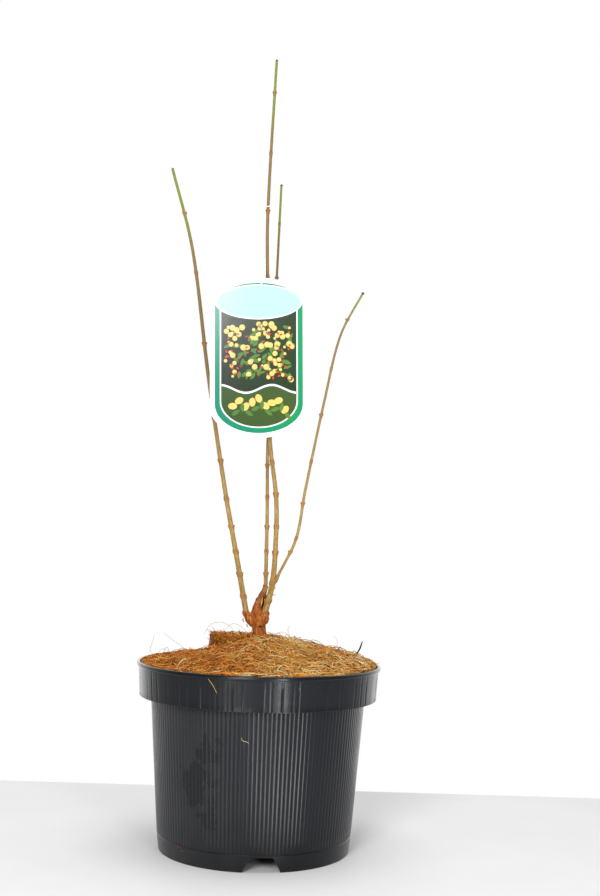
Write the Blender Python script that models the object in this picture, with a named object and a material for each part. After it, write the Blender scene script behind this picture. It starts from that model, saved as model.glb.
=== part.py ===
"""A young wintersweet in a round black nursery pot, with a coir mulch mat and a hang label.

Metres, +Z up, +X to the right and -Y to the front. The origin is on the floor, under the middle of the
pot. The trunk stands on the potting soil, and four bare stems rise from its fork, each of which ends in
a young shoot.
"""

import math

import bmesh
import bpy
from mathutils import Matrix, Vector

MM = 0.001
GAP = 0.3 * MM

# The pot: a thin wall that steps out to a tall band under the lip, on a notched foot ring.
POT_HEIGHT = 139.3 * MM
LIP_RADIUS = 92.8 * MM
LIP_DEPTH = 3.2 * MM
BAND_TOP_RADIUS = 91.4 * MM
BAND_FOOT_RADIUS = 90.0 * MM
BAND_DEPTH = 25.2 * MM
BODY_TOP_RADIUS = 81.2 * MM
BODY_FOOT_RADIUS = 73.5 * MM
FOOT_RADIUS = 71.7 * MM
FOOT_HEIGHT = 12.6 * MM
GROOVE_DEPTH = 0.5 * MM
WALL = 1.2 * MM
FOOT_WALL = 2.0 * MM
BASE_UNDERSIDE = 11.6 * MM
BASE_THICKNESS = 1.4 * MM
POT_STEPS = 60

NOTCHES = 3
NOTCH_TURN = 6.4
NOTCH_FOOT_WIDTH = 28.0 * MM
NOTCH_TOP_WIDTH = 16.0 * MM
NOTCH_HEIGHT = 10.8 * MM
DRAINS = 6
DRAIN_TURN = 15.0
DRAIN_RADIUS = 4.5 * MM
DRAIN_CIRCLE = 52.0 * MM

# The coir mat is a domed disc with a slit, lifted on one side of the slit and sunken on the other.
MAT_RADIUS = 89.5 * MM
MAT_EDGE_HEIGHT = 140.2 * MM
MAT_RISE = 19.8 * MM
MAT_DOME_POWER = 1.5
SUNKEN_EDGE_HEIGHT = 138.6 * MM
SUNKEN_POWER = 1.6
MAT_THINNEST = 5.0 * MM
MAT_HOLE_TOP = 6.8 * MM
MAT_HOLE_FOOT = 9.0 * MM
MAT_COLUMNS = 52
SLIT_DIRECTION = 118.8
SLIT_WIDTH = 0.6 * MM
SLIT_LIFT = 13.5 * MM
SLIT_LIFT_POWER = 2.1
SLIT_LIFT_SPREAD = 88.0
SUNKEN_TO = 75.0
EVEN_FROM = 140.0
DOME_RINGS = [13.0 * MM, 25.0 * MM, 38.0 * MM, 51.0 * MM, 64.0 * MM, 77.0 * MM]

# The trunk and its arms are limbs through places of (x, y, z) and a radius there, in millimetres. The
# heights of the trunk's foot are counted from the soil. The stub is what is left of the old leader.
TRUNK_FOOT = [((-0.3, 0.0, -2.0), 7.7), ((-0.3, 0.0, 3.0), 6.2)]
TRUNK_COLUMN = [((-0.4, 0.0, 159.0), 5.4), ((-1.0, 0.0, 165.0), 5.2)]
TRUNK_COLUMN += [((-1.8, 0.0, 170.0), 5.6), ((-2.2, 0.4, 174.0), 5.2)]
LEFT_ARM = [((-2.0, 0.0, 169.0), 4.6), ((-6.6, 0.2, 171.2), 4.6), ((-10.2, 0.5, 174.5), 3.1)]
RIGHT_ARM = [((-1.0, -0.8, 169.0), 4.4), ((2.0, -1.2, 172.0), 4.6), ((2.7, -1.3, 175.0), 3.8)]
STUB = [((-3.2, 1.0, 172.0), 5.0), ((-2.4, 2.0, 180.0), 4.2)]
STUB += [((0.6, 2.8, 189.0), 3.1), ((2.7, 3.3, 195.0), 2.1)]
LEFT_ARM_END = 2.7
RIGHT_ARM_END = 3.4
STUB_END = 2.0
COLLAR_KNOBS = [((-8.0, 0.0, 170.4), 6.2), ((3.0, -1.6, 171.6), 6.4)]
TRUNK_SKIN_STEP = 0.7 * MM
TRUNK_FACES_KEPT = 0.14

# Each stem's route is its middle line: places that a smooth line passes through, in millimetres. Its
# nodes are heights in millimetres. Its taper is the radius at the foot, that at the tip, and the power
# of the line between them.
LEFT_ROUTE = [(-11.3, 0.6, 177.0), (-20.2, 2.3, 220.0), (-30.8, 4.9, 270.0)]
LEFT_ROUTE += [(-47.3, 10.4, 360.0), (-63.6, 17.2, 460.0), (-82.4, 22.0, 526.2)]
LEFT_NODES = [189.1, 205.6, 222.9, 241.7, 263.2, 292.4, 325.8, 384.0, 441.1, 488.6]
TALL_ROUTE = [(3.1, -1.3, 177.0), (8.3, -2.0, 200.0), (9.9, -2.7, 235.0), (9.1, -3.3, 265.0)]
TALL_ROUTE += [(2.9, -4.1, 310.0), (-2.8, -6.2, 435.0), (-4.1, -6.9, 486.0), (-0.9, -8.7, 605.6)]
TALL_NODES = [186.0, 200.0, 222.8, 242.9, 267.5, 292.3, 318.5, 351.0, 390.0, 435.0, 485.8, 531.6, 578.6]
MIDDLE_ROUTE = [(3.0, 3.4, 197.0), (2.4, 7.3, 250.0), (1.0, 11.7, 310.0)]
MIDDLE_ROUTE += [(3.7, 21.3, 440.0), (5.0, 27.0, 516.8)]
MIDDLE_NODES = [206.1, 223.7, 242.2, 265.7, 289.9, 321.0, 358.0, 398.0, 439.2, 483.7]
RIGHT_ROUTE = [(12.6, -3.3, 206.0), (25.3, -5.2, 234.0), (31.0, -8.0, 270.0)]
RIGHT_ROUTE += [(43.8, -14.0, 340.0), (54.6, -18.5, 390.0), (71.0, -22.0, 423.0)]
RIGHT_NODES = [223.6, 234.4, 260.7, 293.2, 328.5, 364.2, 401.1]
LEFT_TAPER = (2.3 * MM, 1.12 * MM, 0.68)
TALL_TAPER = (2.05 * MM, 0.95 * MM, 0.8)
MIDDLE_TAPER = (1.58 * MM, 0.85 * MM, 0.7)
RIGHT_TAPER = (1.2 * MM, 0.88 * MM, 1.0)
TALL_FOOT_FLARE = 0.65 * MM
FLARE_REACH = 0.05

# The right stem stands on a short knuckle of the tall one.
KNUCKLE_HEIGHT = 198.0 * MM
KNUCKLE_ROOT_RADIUS = 1.3 * MM
KNUCKLE_RADIUS = 1.5 * MM
KNUCKLE_END_RADIUS = 1.45 * MM
KNUCKLE_END_LENGTH = 1.6 * MM

# A stem ends just above the node that its young shoot starts from, counted back from the tip.
SHOOT_NODES = 1
ABOVE_NODE = 4.0 * MM

LIMB_SIDES_STEP = 2
LONGEST_STRETCH = 20.0 * MM
NODE_SWELL = 1.24
NODE_SHAPE = [(-2.4, 1.0), (-0.8, NODE_SWELL), (0.6, NODE_SWELL), (2.2, 1.0)]
BUD_LENGTH = 2.3 * MM
BUD_WIDTH = 1.35 * MM
BUD_LEAN = 22.0
BUD_RISE = 0.5 * MM
BUD_OUT = 0.94
TIP_BUD_BELOW = 1.4 * MM
TIP_BUD_OUT = 0.75

# The label is a plastic card that hangs from a thread round the tall stem.
CARD_WIDTH = 74.8 * MM
CARD_HEIGHT = 123.1 * MM
CARD_THICKNESS = 0.6 * MM
CARD_TOP_ROUNDING = 19.3 * MM
CARD_FOOT_ROUNDING = 24.0 * MM
CARD_CENTRE = Vector((-7.4, -11.2, 371.6)) * MM
CARD_LEAN = -1.9
CARD_HOLE_RADIUS = 2.0 * MM
CARD_HOLE_ACROSS = 2.2 * MM
CARD_HOLE_BELOW_TOP = 6.0 * MM
THREAD_RADIUS = 0.4 * MM
THREAD_RING_HEIGHT = 490.0 * MM
THREAD_RING_RADIUS = 2.4 * MM
THREAD_RING_TILT = 0.45
KNOT = Vector((-8.0, -10.6, 483.0)) * MM
KNOT_RADIUS = 1.0 * MM
LONG_END = [(-3.5, -1.0, 0.6), (-7.5, -1.6, -0.8), (-11.0, -1.8, -1.0)]
HANGING_END = [(-4.5, -0.6, -0.6), (-7.4, -0.8, -3.6), (-7.9, -0.9, -11.0)]


def clear_scene():
    for old in list(bpy.data.objects):
        bpy.data.objects.remove(old, do_unlink=True)


def new_material(name, colour, roughness):
    material = bpy.data.materials.new(name)
    material.use_nodes = True
    shader = material.node_tree.nodes["Principled BSDF"]
    shader.inputs["Base Color"].default_value = (*colour, 1.0)
    shader.inputs["Roughness"].default_value = roughness
    shader.inputs["Metallic"].default_value = 0.0
    material.diffuse_color = (*colour, 1.0)
    return material


def new_object(name, shape):
    """Make an object of a bmesh, with its faces turned out."""
    bmesh.ops.recalc_face_normals(shape, faces=shape.faces)
    mesh = bpy.data.meshes.new(name)
    shape.to_mesh(mesh)
    shape.free()
    thing = bpy.data.objects.new(name, mesh)
    bpy.context.scene.collection.objects.link(thing)
    return thing


def finish(thing, material, sharp_angle=40.0):
    """Give a piece its material and smooth shading, with edges left where the surface turns."""
    thing.data.materials.clear()
    thing.data.materials.append(material)
    thing.data.shade_smooth()
    thing.data.set_sharp_from_angle(angle=math.radians(sharp_angle))


def settle(thing):
    """Turn what a curve or a modifier makes into the object's own mesh."""
    graph = bpy.context.evaluated_depsgraph_get()
    mesh = bpy.data.meshes.new_from_object(thing.evaluated_get(graph))
    name = thing.name
    bpy.data.objects.remove(thing, do_unlink=True)
    settled = bpy.data.objects.new(name, mesh)
    bpy.context.scene.collection.objects.link(settled)
    return settled


def turned(name, outline, steps):
    """Turn an outline of (radius, height) corners about the Z axis."""
    shape = bmesh.new()
    corners = [shape.verts.new((radius, 0.0, height)) for radius, height in outline]
    edges = [shape.edges.new(pair) for pair in zip(corners, corners[1:])]
    bmesh.ops.spin(
        shape,
        geom=corners + edges,
        cent=(0.0, 0.0, 0.0),
        axis=(0.0, 0.0, 1.0),
        angle=math.tau,
        steps=steps,
        use_merge=True,
    )
    bmesh.ops.remove_doubles(shape, verts=shape.verts, dist=0.01 * MM)
    return new_object(name, shape)


def boolean(thing, operation, others, solver):
    """Cut or join a list of other objects with one Boolean on their collection."""
    group = bpy.data.collections.new(thing.name + "_tools")
    bpy.context.scene.collection.children.link(group)
    for other in others:
        bpy.context.scene.collection.objects.unlink(other)
        group.objects.link(other)
    modifier = thing.modifiers.new(operation.lower(), "BOOLEAN")
    modifier.operation = operation
    modifier.operand_type = "COLLECTION"
    modifier.collection = group
    modifier.solver = solver
    made = settle(thing)
    for other in others:
        bpy.data.objects.remove(other, do_unlink=True)
    bpy.data.collections.remove(group)
    return made


def route_place(route, height):
    """The middle line's place at a height, by cubics between the route's places."""
    places = [Vector(place) * MM for place in route]
    last = len(places) - 1
    first = 0
    while first < last - 1 and height > places[first + 1].z:
        first += 1

    def slope(i):
        before = places[max(i - 1, 0)]
        after = places[min(i + 1, last)]
        return (after - before) / (after.z - before.z)

    low = places[first]
    high = places[first + 1]
    span = high.z - low.z
    t = (height - low.z) / span
    place = low * (2 * t**3 - 3 * t**2 + 1) + high * (3 * t**2 - 2 * t**3)
    place += slope(first) * span * (t**3 - 2 * t**2 + t)
    place += slope(first + 1) * span * (t**3 - t**2)
    place.z = height
    return place


def route_direction(route, height):
    step = 1.0 * MM
    return (route_place(route, height + step) - route_place(route, height)).normalized()


def limb(name, stations):
    """A round tapering limb through stations of (place, radius), with flat ends."""
    curve = bpy.data.curves.new(name, "CURVE")
    curve.dimensions = "3D"
    curve.bevel_depth = 1.0
    curve.bevel_resolution = LIMB_SIDES_STEP
    curve.use_fill_caps = True
    spline = curve.splines.new("POLY")
    spline.points.add(len(stations) - 1)
    for point, (place, radius) in zip(spline.points, stations):
        point.co = (*place, 1.0)
        point.radius = radius
    thing = bpy.data.objects.new(name, curve)
    bpy.context.scene.collection.objects.link(thing)
    thing = settle(thing)
    shape = bmesh.new()
    shape.from_mesh(thing.data)
    bpy.data.objects.remove(thing, do_unlink=True)
    bmesh.ops.remove_doubles(shape, verts=shape.verts, dist=0.005 * MM)
    return new_object(name, shape)


def lump(name, place, size, direction=Vector((0.0, 0.0, 1.0)), subdivisions=1):
    """A rounded lump of size (across, across, along), with its length along a direction."""
    shape = bmesh.new()
    bmesh.ops.create_icosphere(shape, subdivisions=subdivisions, radius=0.5)
    turn = direction.to_track_quat("Z", "Y").to_matrix().to_4x4()
    at = Matrix.Translation(place) @ turn @ Matrix.Diagonal((*size, 1.0))
    bmesh.ops.transform(shape, matrix=at, verts=shape.verts)
    return new_object(name, shape)


def bud_pair(name, route, height, radius, turn):
    """Two opposite buds in a node's axils, their roots sunk in the stem."""
    along = route_direction(route, height)
    side = Vector((1.0, 0.0, 0.0)) - along * along.x
    side.normalize()
    side.rotate(Matrix.Rotation(turn, 3, along))
    lean = math.radians(BUD_LEAN)
    buds = []
    for out in (-side, side):
        direction = along * math.cos(lean) + out * math.sin(lean)
        place = route_place(route, height) + out * radius * BUD_OUT + along * BUD_RISE
        buds.append(lump(f"{name}_bud", place, (BUD_WIDTH, BUD_WIDTH, BUD_LENGTH), direction))
    return buds


def stem_stations(route, nodes, low, high, thickness):
    """Stations along a stem that swell at each node, with more where a stretch is long."""
    end_margin = 0.5 * MM
    marks = [(low, 1.0), (high, 1.0)]
    for node in nodes:
        for rise, swell in NODE_SHAPE:
            if low + end_margin < node + rise * MM < high - end_margin:
                marks.append((node + rise * MM, swell))
    marks.sort()
    stations = []
    for (height, swell), (above, _) in zip(marks, marks[1:]):
        count = max(1, math.ceil((above - height) / LONGEST_STRETCH))
        for i in range(count):
            here = height + (above - height) * i / count
            radius = thickness(here) * (swell if i == 0 else 1.0)
            stations.append((route_place(route, here), radius))
    stations.append((route_place(route, high), thickness(high)))
    return stations


def taper(route, foot_radius, tip_radius, power, flare=0.0):
    """A stem's radius by height, with a short flare at its foot."""
    low = route[0][2] * MM
    high = route[-1][2] * MM

    def thickness(height):
        t = max(height - low, 0.0) / (high - low)
        even = foot_radius - (foot_radius - tip_radius) * t**power
        return even + flare * math.exp(-t / FLARE_REACH)

    return thickness


def stem_and_shoot(name, route, nodes_mm, thickness, bud_turn, materials, extras=()):
    """Make one stem from its foot to above a node, and the young shoot that goes on to the tip."""
    nodes = [node * MM for node in nodes_mm]
    foot = route[0][2] * MM
    tip = route[-1][2] * MM
    split = nodes[-1 - SHOOT_NODES] + ABOVE_NODE
    pieces = []
    for part, low, high in (("stem", foot, split), ("shoot", split + GAP, tip)):
        label = f"{part}_{name}"
        body = limb(label, stem_stations(route, nodes, low, high, thickness))
        joined = []
        for i, node in enumerate(nodes):
            if low < node < high:
                radius = thickness(node) * NODE_SWELL
                joined += bud_pair(label, route, node, radius, bud_turn + i * math.pi / 2)
        if part == "shoot":
            tip_radius = thickness(tip) * TIP_BUD_OUT
            joined += bud_pair(label, route, tip - TIP_BUD_BELOW, tip_radius, bud_turn)
        else:
            joined += list(extras)
        body = boolean(body, "UNION", joined, "MANIFOLD")
        finish(body, materials[part])
        pieces.append(body)
    return pieces


def make_pot(material):
    """The turned shell, with notches cut in its foot ring and drain holes in its base."""
    band_foot = POT_HEIGHT - BAND_DEPTH
    lip_foot = POT_HEIGHT - LIP_DEPTH
    outside = [
        (LIP_RADIUS - 1.8 * MM, POT_HEIGHT),
        (LIP_RADIUS - 0.6 * MM, POT_HEIGHT - 0.3 * MM),
        (LIP_RADIUS, POT_HEIGHT - 1.1 * MM),
        (LIP_RADIUS, lip_foot + 0.8 * MM),
        (BAND_TOP_RADIUS, lip_foot),
        (BAND_FOOT_RADIUS, band_foot + 0.6 * MM),
        (BAND_FOOT_RADIUS - 0.5 * MM, band_foot),
        (BODY_TOP_RADIUS, band_foot),
        (BODY_FOOT_RADIUS, FOOT_HEIGHT + 0.9 * MM),
        (BODY_FOOT_RADIUS - GROOVE_DEPTH, FOOT_HEIGHT + 0.4 * MM),
        (BODY_FOOT_RADIUS - GROOVE_DEPTH, FOOT_HEIGHT - 0.2 * MM),
        (BODY_FOOT_RADIUS - 0.1 * MM, FOOT_HEIGHT - 0.7 * MM),
        (FOOT_RADIUS + 0.2 * MM, 0.8 * MM),
        (FOOT_RADIUS - 0.3 * MM, 0.0),
        (FOOT_RADIUS - FOOT_WALL, 0.0),
        (BODY_FOOT_RADIUS - 3.2 * MM, BASE_UNDERSIDE),
        (0.0, BASE_UNDERSIDE),
    ]
    inside = [
        (0.0, BASE_UNDERSIDE + BASE_THICKNESS),
        (BODY_FOOT_RADIUS - WALL, BASE_UNDERSIDE + BASE_THICKNESS),
        (BODY_TOP_RADIUS - WALL, band_foot + WALL),
        (BAND_FOOT_RADIUS - WALL, band_foot + WALL),
        (BAND_TOP_RADIUS - WALL, lip_foot),
        (LIP_RADIUS - 2.4 * MM, POT_HEIGHT - 0.3 * MM),
        (LIP_RADIUS - 1.8 * MM, POT_HEIGHT),
    ]
    pot = turned("pot", outside + inside, POT_STEPS)

    cutters = []
    reach_in = 55.0 * MM
    reach_out = 85.0 * MM
    below = 4.0 * MM
    spread = (NOTCH_FOOT_WIDTH - NOTCH_TOP_WIDTH) / NOTCH_HEIGHT * below
    for i in range(NOTCHES):
        profile = [
            (-NOTCH_FOOT_WIDTH / 2 - spread / 2, -below),
            (NOTCH_FOOT_WIDTH / 2 + spread / 2, -below),
            (NOTCH_TOP_WIDTH / 2, NOTCH_HEIGHT),
            (-NOTCH_TOP_WIDTH / 2, NOTCH_HEIGHT),
        ]
        shape = bmesh.new()
        face = shape.faces.new([shape.verts.new((x, -reach_out, z)) for x, z in profile])
        made = bmesh.ops.extrude_face_region(shape, geom=[face])
        moved = [v for v in made["geom"] if isinstance(v, bmesh.types.BMVert)]
        bmesh.ops.translate(shape, verts=moved, vec=(0.0, reach_out - reach_in, 0.0))
        turn = Matrix.Rotation(math.radians(NOTCH_TURN) + i * math.tau / NOTCHES, 4, "Z")
        bmesh.ops.transform(shape, matrix=turn, verts=shape.verts)
        cutters.append(new_object("notch_cutter", shape))
    for i in range(DRAINS):
        angle = math.radians(DRAIN_TURN) + i * math.tau / DRAINS
        spot = (DRAIN_CIRCLE * math.cos(angle), DRAIN_CIRCLE * math.sin(angle), BASE_UNDERSIDE)
        shape = bmesh.new()
        bmesh.ops.create_cone(
            shape,
            cap_ends=True,
            segments=12,
            radius1=DRAIN_RADIUS,
            radius2=DRAIN_RADIUS,
            depth=8.0 * MM,
            matrix=Matrix.Translation(spot),
        )
        cutters.append(new_object("drain_cutter", shape))
    pot = boolean(pot, "DIFFERENCE", cutters, "EXACT")
    finish(pot, material, 30.0)


def dome_height(radius):
    """The mat's even dome, before its edge is lifted beside the slit."""
    return MAT_EDGE_HEIGHT + MAT_RISE * (1.0 - (radius / MAT_RADIUS) ** MAT_DOME_POWER)


def sunken_height(radius):
    """The mat where it lies thin over the root ball, on the low side of the slit."""
    return SUNKEN_EDGE_HEIGHT + MAT_RISE * (1.0 - radius / MAT_RADIUS) ** SUNKEN_POWER


def soil_height(radius):
    return sunken_height(max(radius, DOME_RINGS[0])) - MAT_THINNEST - GAP


def make_soil(material):
    """The root ball fills the pot and rises in a dome under the mat."""
    shoulder = POT_HEIGHT - BAND_DEPTH + WALL
    base = BASE_UNDERSIDE + BASE_THICKNESS + GAP
    rings = [(radius, soil_height(radius)) for radius in DOME_RINGS]
    edge = BAND_FOOT_RADIUS - WALL - 2 * GAP
    outline = [(0.0, soil_height(0.0))] + rings
    outline += [
        (edge, soil_height(edge)),
        (edge, shoulder + GAP),
        (BODY_TOP_RADIUS - WALL - GAP, shoulder + GAP),
        (BODY_TOP_RADIUS - WALL - 2 * GAP, shoulder - 2 * GAP),
        (BODY_FOOT_RADIUS - WALL - 2 * GAP, base),
        (0.0, base),
    ]
    soil = turned("potting_soil", outline, MAT_COLUMNS)
    finish(soil, material)


def smooth_step(t):
    t = min(max(t, 0.0), 1.0)
    return t * t * (3.0 - 2.0 * t)


def mat_top(radius, turn):
    """The mat's height at a turn in degrees, counted anticlockwise from the slit's low side."""
    before_slit = 360.0 - turn
    lift = smooth_step(1.0 - before_slit / SLIT_LIFT_SPREAD) * SLIT_LIFT
    even = smooth_step((turn - SUNKEN_TO) / (EVEN_FROM - SUNKEN_TO))
    low = sunken_height(radius)
    dome = low + (dome_height(radius) - low) * even
    return dome + lift * (radius / MAT_RADIUS) ** SLIT_LIFT_POWER


def make_mat(material):
    """The coir disc lies on the soil, with a hole for the trunk and a slit out to its edge."""
    radii = DOME_RINGS + [MAT_RADIUS]
    shape = bmesh.new()
    columns = []
    for i in range(MAT_COLUMNS + 1):
        column = []
        share = i / MAT_COLUMNS
        for over in (True, False):
            hole = MAT_HOLE_TOP if over else MAT_HOLE_FOOT
            for radius in [hole] + radii:
                half_slit = math.degrees(SLIT_WIDTH / 2 / radius)
                turn = half_slit + (360.0 - 2 * half_slit) * share
                angle = math.radians(SLIT_DIRECTION + turn)
                height = mat_top(radius, turn) if over else soil_height(radius) + GAP
                spot = (radius * math.cos(angle), radius * math.sin(angle), height)
                column.append(shape.verts.new(spot))
        half = len(column) // 2
        columns.append(column[:half] + column[half:][::-1])
    size = len(columns[0])
    for left, right in zip(columns, columns[1:]):
        for j in range(size):
            k = (j + 1) % size
            shape.faces.new((left[j], left[k], right[k], right[j]))
    for end in (columns[0], columns[-1]):
        for j in range(size // 2 - 1):
            shape.faces.new((end[j], end[j + 1], end[size - 2 - j], end[size - 1 - j]))
    mat = new_object("coir_mat", shape)
    finish(mat, material, 60.0)


def arm_cutter(route):
    """A short drum whose lower face is the flat end of a trunk's arm, just clear of the stem's foot."""
    base = route[0][2] * MM
    along = route_direction(route, base)
    length = 14.0 * MM
    radius = 4.4 * MM
    middle = route_place(route, base) + along * (length / 2 - GAP)
    turn = along.to_track_quat("Z", "Y").to_matrix().to_4x4()
    shape = bmesh.new()
    bmesh.ops.create_cone(
        shape,
        cap_ends=True,
        segments=24,
        radius1=radius,
        radius2=radius,
        depth=length,
        matrix=Matrix.Translation(middle) @ turn,
    )
    return new_object("arm_cutter", shape)


def foot_cutter(height):
    """A slab whose upper face is the flat cut at the trunk's foot."""
    width = 36.0 * MM
    depth = 12.0 * MM
    middle = Matrix.Translation((0.0, 0.0, height - depth / 2))
    shape = bmesh.new()
    bmesh.ops.create_cube(shape, size=1.0, matrix=middle @ Matrix.Diagonal((width, width, depth, 1.0)))
    return new_object("foot_cutter", shape)


def make_trunk(material):
    """The trunk, its two collars and the leaning stub of the old leader, blended into one form."""
    foot = soil_height(0.0) + GAP
    column = []
    for (x, y, above_foot), radius in TRUNK_FOOT:
        column.append(((x, y, foot / MM + above_foot), radius))
    column += TRUNK_COLUMN
    limbs_mm = [column]
    cutters = [foot_cutter(foot)]
    ends = [
        (LEFT_ARM, LEFT_ROUTE, LEFT_ARM_END),
        (RIGHT_ARM, TALL_ROUTE, RIGHT_ARM_END),
        (STUB, MIDDLE_ROUTE, STUB_END),
    ]
    past_cut = 2.0 * MM
    for arm, route, end_radius in ends:
        base = route[0][2] * MM
        end = route_place(route, base) + route_direction(route, base) * past_cut
        limbs_mm.append(arm + [(tuple(end / MM), end_radius)])
        cutters.append(arm_cutter(route))

    pieces = []
    for stations_mm in limbs_mm:
        stations = [(Vector(place) * MM, radius * MM) for place, radius in stations_mm]
        pieces.append(limb("trunk_limb", stations))
    for place, size in COLLAR_KNOBS:
        pieces.append(lump("trunk_knob", Vector(place) * MM, (size * MM,) * 3, subdivisions=2))
    trunk = pieces[0]
    trunk.name = "trunk"
    trunk = boolean(trunk, "UNION", pieces[1:], "MANIFOLD")
    remesh = trunk.modifiers.new("even_skin", "REMESH")
    remesh.mode = "VOXEL"
    remesh.voxel_size = TRUNK_SKIN_STEP
    smooth = trunk.modifiers.new("blend", "SMOOTH")
    smooth.iterations = 8
    smooth.factor = 0.5
    thin = trunk.modifiers.new("fewer_faces", "DECIMATE")
    thin.ratio = TRUNK_FACES_KEPT
    trunk = settle(trunk)
    trunk = boolean(trunk, "DIFFERENCE", cutters, "EXACT")
    finish(trunk, material, 50.0)


def right_knuckle():
    """The short spur on the tall stem that the right stem stands on."""
    base = RIGHT_ROUTE[0][2] * MM
    along = route_direction(RIGHT_ROUTE, base)
    end = route_place(RIGHT_ROUTE, base) - along * GAP
    stations = [
        (route_place(TALL_ROUTE, KNUCKLE_HEIGHT), KNUCKLE_ROOT_RADIUS),
        (end - along * KNUCKLE_END_LENGTH, KNUCKLE_RADIUS),
        (end, KNUCKLE_END_RADIUS),
    ]
    return limb("right_knuckle", stations)


def make_stems(materials):
    left = taper(LEFT_ROUTE, *LEFT_TAPER)
    tall = taper(TALL_ROUTE, *TALL_TAPER, TALL_FOOT_FLARE)
    middle = taper(MIDDLE_ROUTE, *MIDDLE_TAPER)
    right = taper(RIGHT_ROUTE, *RIGHT_TAPER)
    stem_and_shoot("left", LEFT_ROUTE, LEFT_NODES, left, math.pi / 2, materials)
    stem_and_shoot("tall", TALL_ROUTE, TALL_NODES, tall, 0.0, materials, [right_knuckle()])
    stem_and_shoot("middle", MIDDLE_ROUTE, MIDDLE_NODES, middle, 0.0, materials)
    stem_and_shoot("right", RIGHT_ROUTE, RIGHT_NODES, right, 0.0, materials)


def card_matrix():
    return Matrix.Translation(CARD_CENTRE) @ Matrix.Rotation(math.radians(CARD_LEAN), 4, "Y")


def make_label(material):
    """The hang label: a thin card with rounded ends and one small hole."""
    half = CARD_WIDTH / 2
    top = CARD_HEIGHT / 2
    arc_steps = 18
    outline = []
    for i in range(arc_steps + 1):
        angle = math.pi * i / arc_steps
        height = top - CARD_TOP_ROUNDING * (1.0 - math.sin(angle))
        outline.append((half * math.cos(angle), height))
    for i in range(arc_steps + 1):
        angle = math.pi * (1.0 + i / arc_steps)
        height = -top + CARD_FOOT_ROUNDING * (1.0 + math.sin(angle))
        outline.append((half * math.cos(angle), height))
    shape = bmesh.new()
    face = shape.faces.new([shape.verts.new((x, -CARD_THICKNESS / 2, z)) for x, z in outline])
    made = bmesh.ops.extrude_face_region(shape, geom=[face])
    moved = [v for v in made["geom"] if isinstance(v, bmesh.types.BMVert)]
    bmesh.ops.translate(shape, verts=moved, vec=(0.0, CARD_THICKNESS, 0.0))
    bmesh.ops.transform(shape, matrix=card_matrix(), verts=shape.verts)
    card = new_object("care_label", shape)
    punch = bmesh.new()
    hole = Matrix.Translation((CARD_HOLE_ACROSS, 0.0, top - CARD_HOLE_BELOW_TOP))
    through = Matrix.Rotation(math.pi / 2, 4, "X")
    bmesh.ops.create_cone(
        punch,
        cap_ends=True,
        segments=16,
        radius1=CARD_HOLE_RADIUS,
        radius2=CARD_HOLE_RADIUS,
        depth=10.0 * MM,
        matrix=card_matrix() @ hole @ through,
    )
    card = boolean(card, "DIFFERENCE", [new_object("hole_punch", punch)], "EXACT")
    finish(card, material)


def make_thread(material):
    """The thread: a ring round the tall stem, a knot, and a long loop through the card's hole."""
    hole = card_matrix() @ Vector((CARD_HOLE_ACROSS, 0.0, CARD_HEIGHT / 2 - CARD_HOLE_BELOW_TOP))
    away = CARD_THICKNESS / 2 + THREAD_RADIUS + 2 * GAP
    top_of_hole = hole + Vector((0.0, 0.0, CARD_HOLE_RADIUS - THREAD_RADIUS - GAP))
    over_edge = hole + Vector((0.0, 0.0, CARD_HOLE_BELOW_TOP))
    front = Vector((-2.6 * MM, -away, 0.0))
    back = Vector((2.6 * MM, away, 0.0))
    loop = [
        KNOT,
        KNOT.lerp(over_edge + front, 0.5) + Vector((-0.3, 0.0, 0.0)) * MM,
        over_edge + front,
        top_of_hole + Vector((-0.9 * MM, -away, 0.8 * MM)),
        top_of_hole + Vector((-0.4 * MM, -away * 0.8, 0.0)),
        top_of_hole + Vector((0.4 * MM, away * 0.8, 0.0)),
        top_of_hole + Vector((0.9 * MM, away, 0.8 * MM)),
        over_edge + back,
        KNOT.lerp(over_edge + back, 0.5) + Vector((0.3, 0.0, 0.0)) * MM,
        KNOT,
    ]
    ring_centre = route_place(TALL_ROUTE, THREAD_RING_HEIGHT)
    ring_start = math.radians(-114.0)
    ring_turn = math.radians(300.0)
    lowest_at = 0.6
    steps = 14
    ring = [KNOT]
    for i in range(steps + 1):
        angle = ring_start + ring_turn * i / steps
        rise = THREAD_RING_TILT * math.cos(angle - lowest_at)
        out = Vector((math.cos(angle), math.sin(angle), rise))
        ring.append(ring_centre + out * THREAD_RING_RADIUS)
    ring.append(KNOT)
    loose_ends = []
    for steps_mm in (LONG_END, HANGING_END):
        loose_ends.append([KNOT] + [KNOT + Vector(step) * MM for step in steps_mm])
    runs = []
    for places in [loop, ring] + loose_ends:
        runs.append(limb("thread_run", [(place, THREAD_RADIUS) for place in places]))
    runs.append(lump("knot", KNOT, (2 * KNOT_RADIUS,) * 3, subdivisions=2))
    thread = runs[0]
    thread.name = "label_thread"
    thread = boolean(thread, "UNION", runs[1:], "MANIFOLD")
    finish(thread, material)


def main():
    clear_scene()
    black_plastic = new_material("black_plastic", (0.022, 0.024, 0.028), 0.34)
    soil = new_material("moist_soil", (0.045, 0.028, 0.018), 0.95)
    coir = new_material("coir", (0.46, 0.25, 0.085), 0.85)
    old_bark = new_material("old_bark", (0.30, 0.125, 0.04), 0.8)
    young_bark = new_material("young_bark", (0.34, 0.235, 0.085), 0.6)
    green_bark = new_material("green_bark", (0.36, 0.32, 0.10), 0.5)
    card = new_material("label_card", (0.86, 0.88, 0.86), 0.35)
    thread = new_material("white_thread", (0.88, 0.88, 0.87), 0.8)
    make_pot(black_plastic)
    make_soil(soil)
    make_mat(coir)
    make_trunk(old_bark)
    make_stems({"stem": young_bark, "shoot": green_bark})
    make_label(card)
    make_thread(thread)


main()
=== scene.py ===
import math
import random

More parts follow.
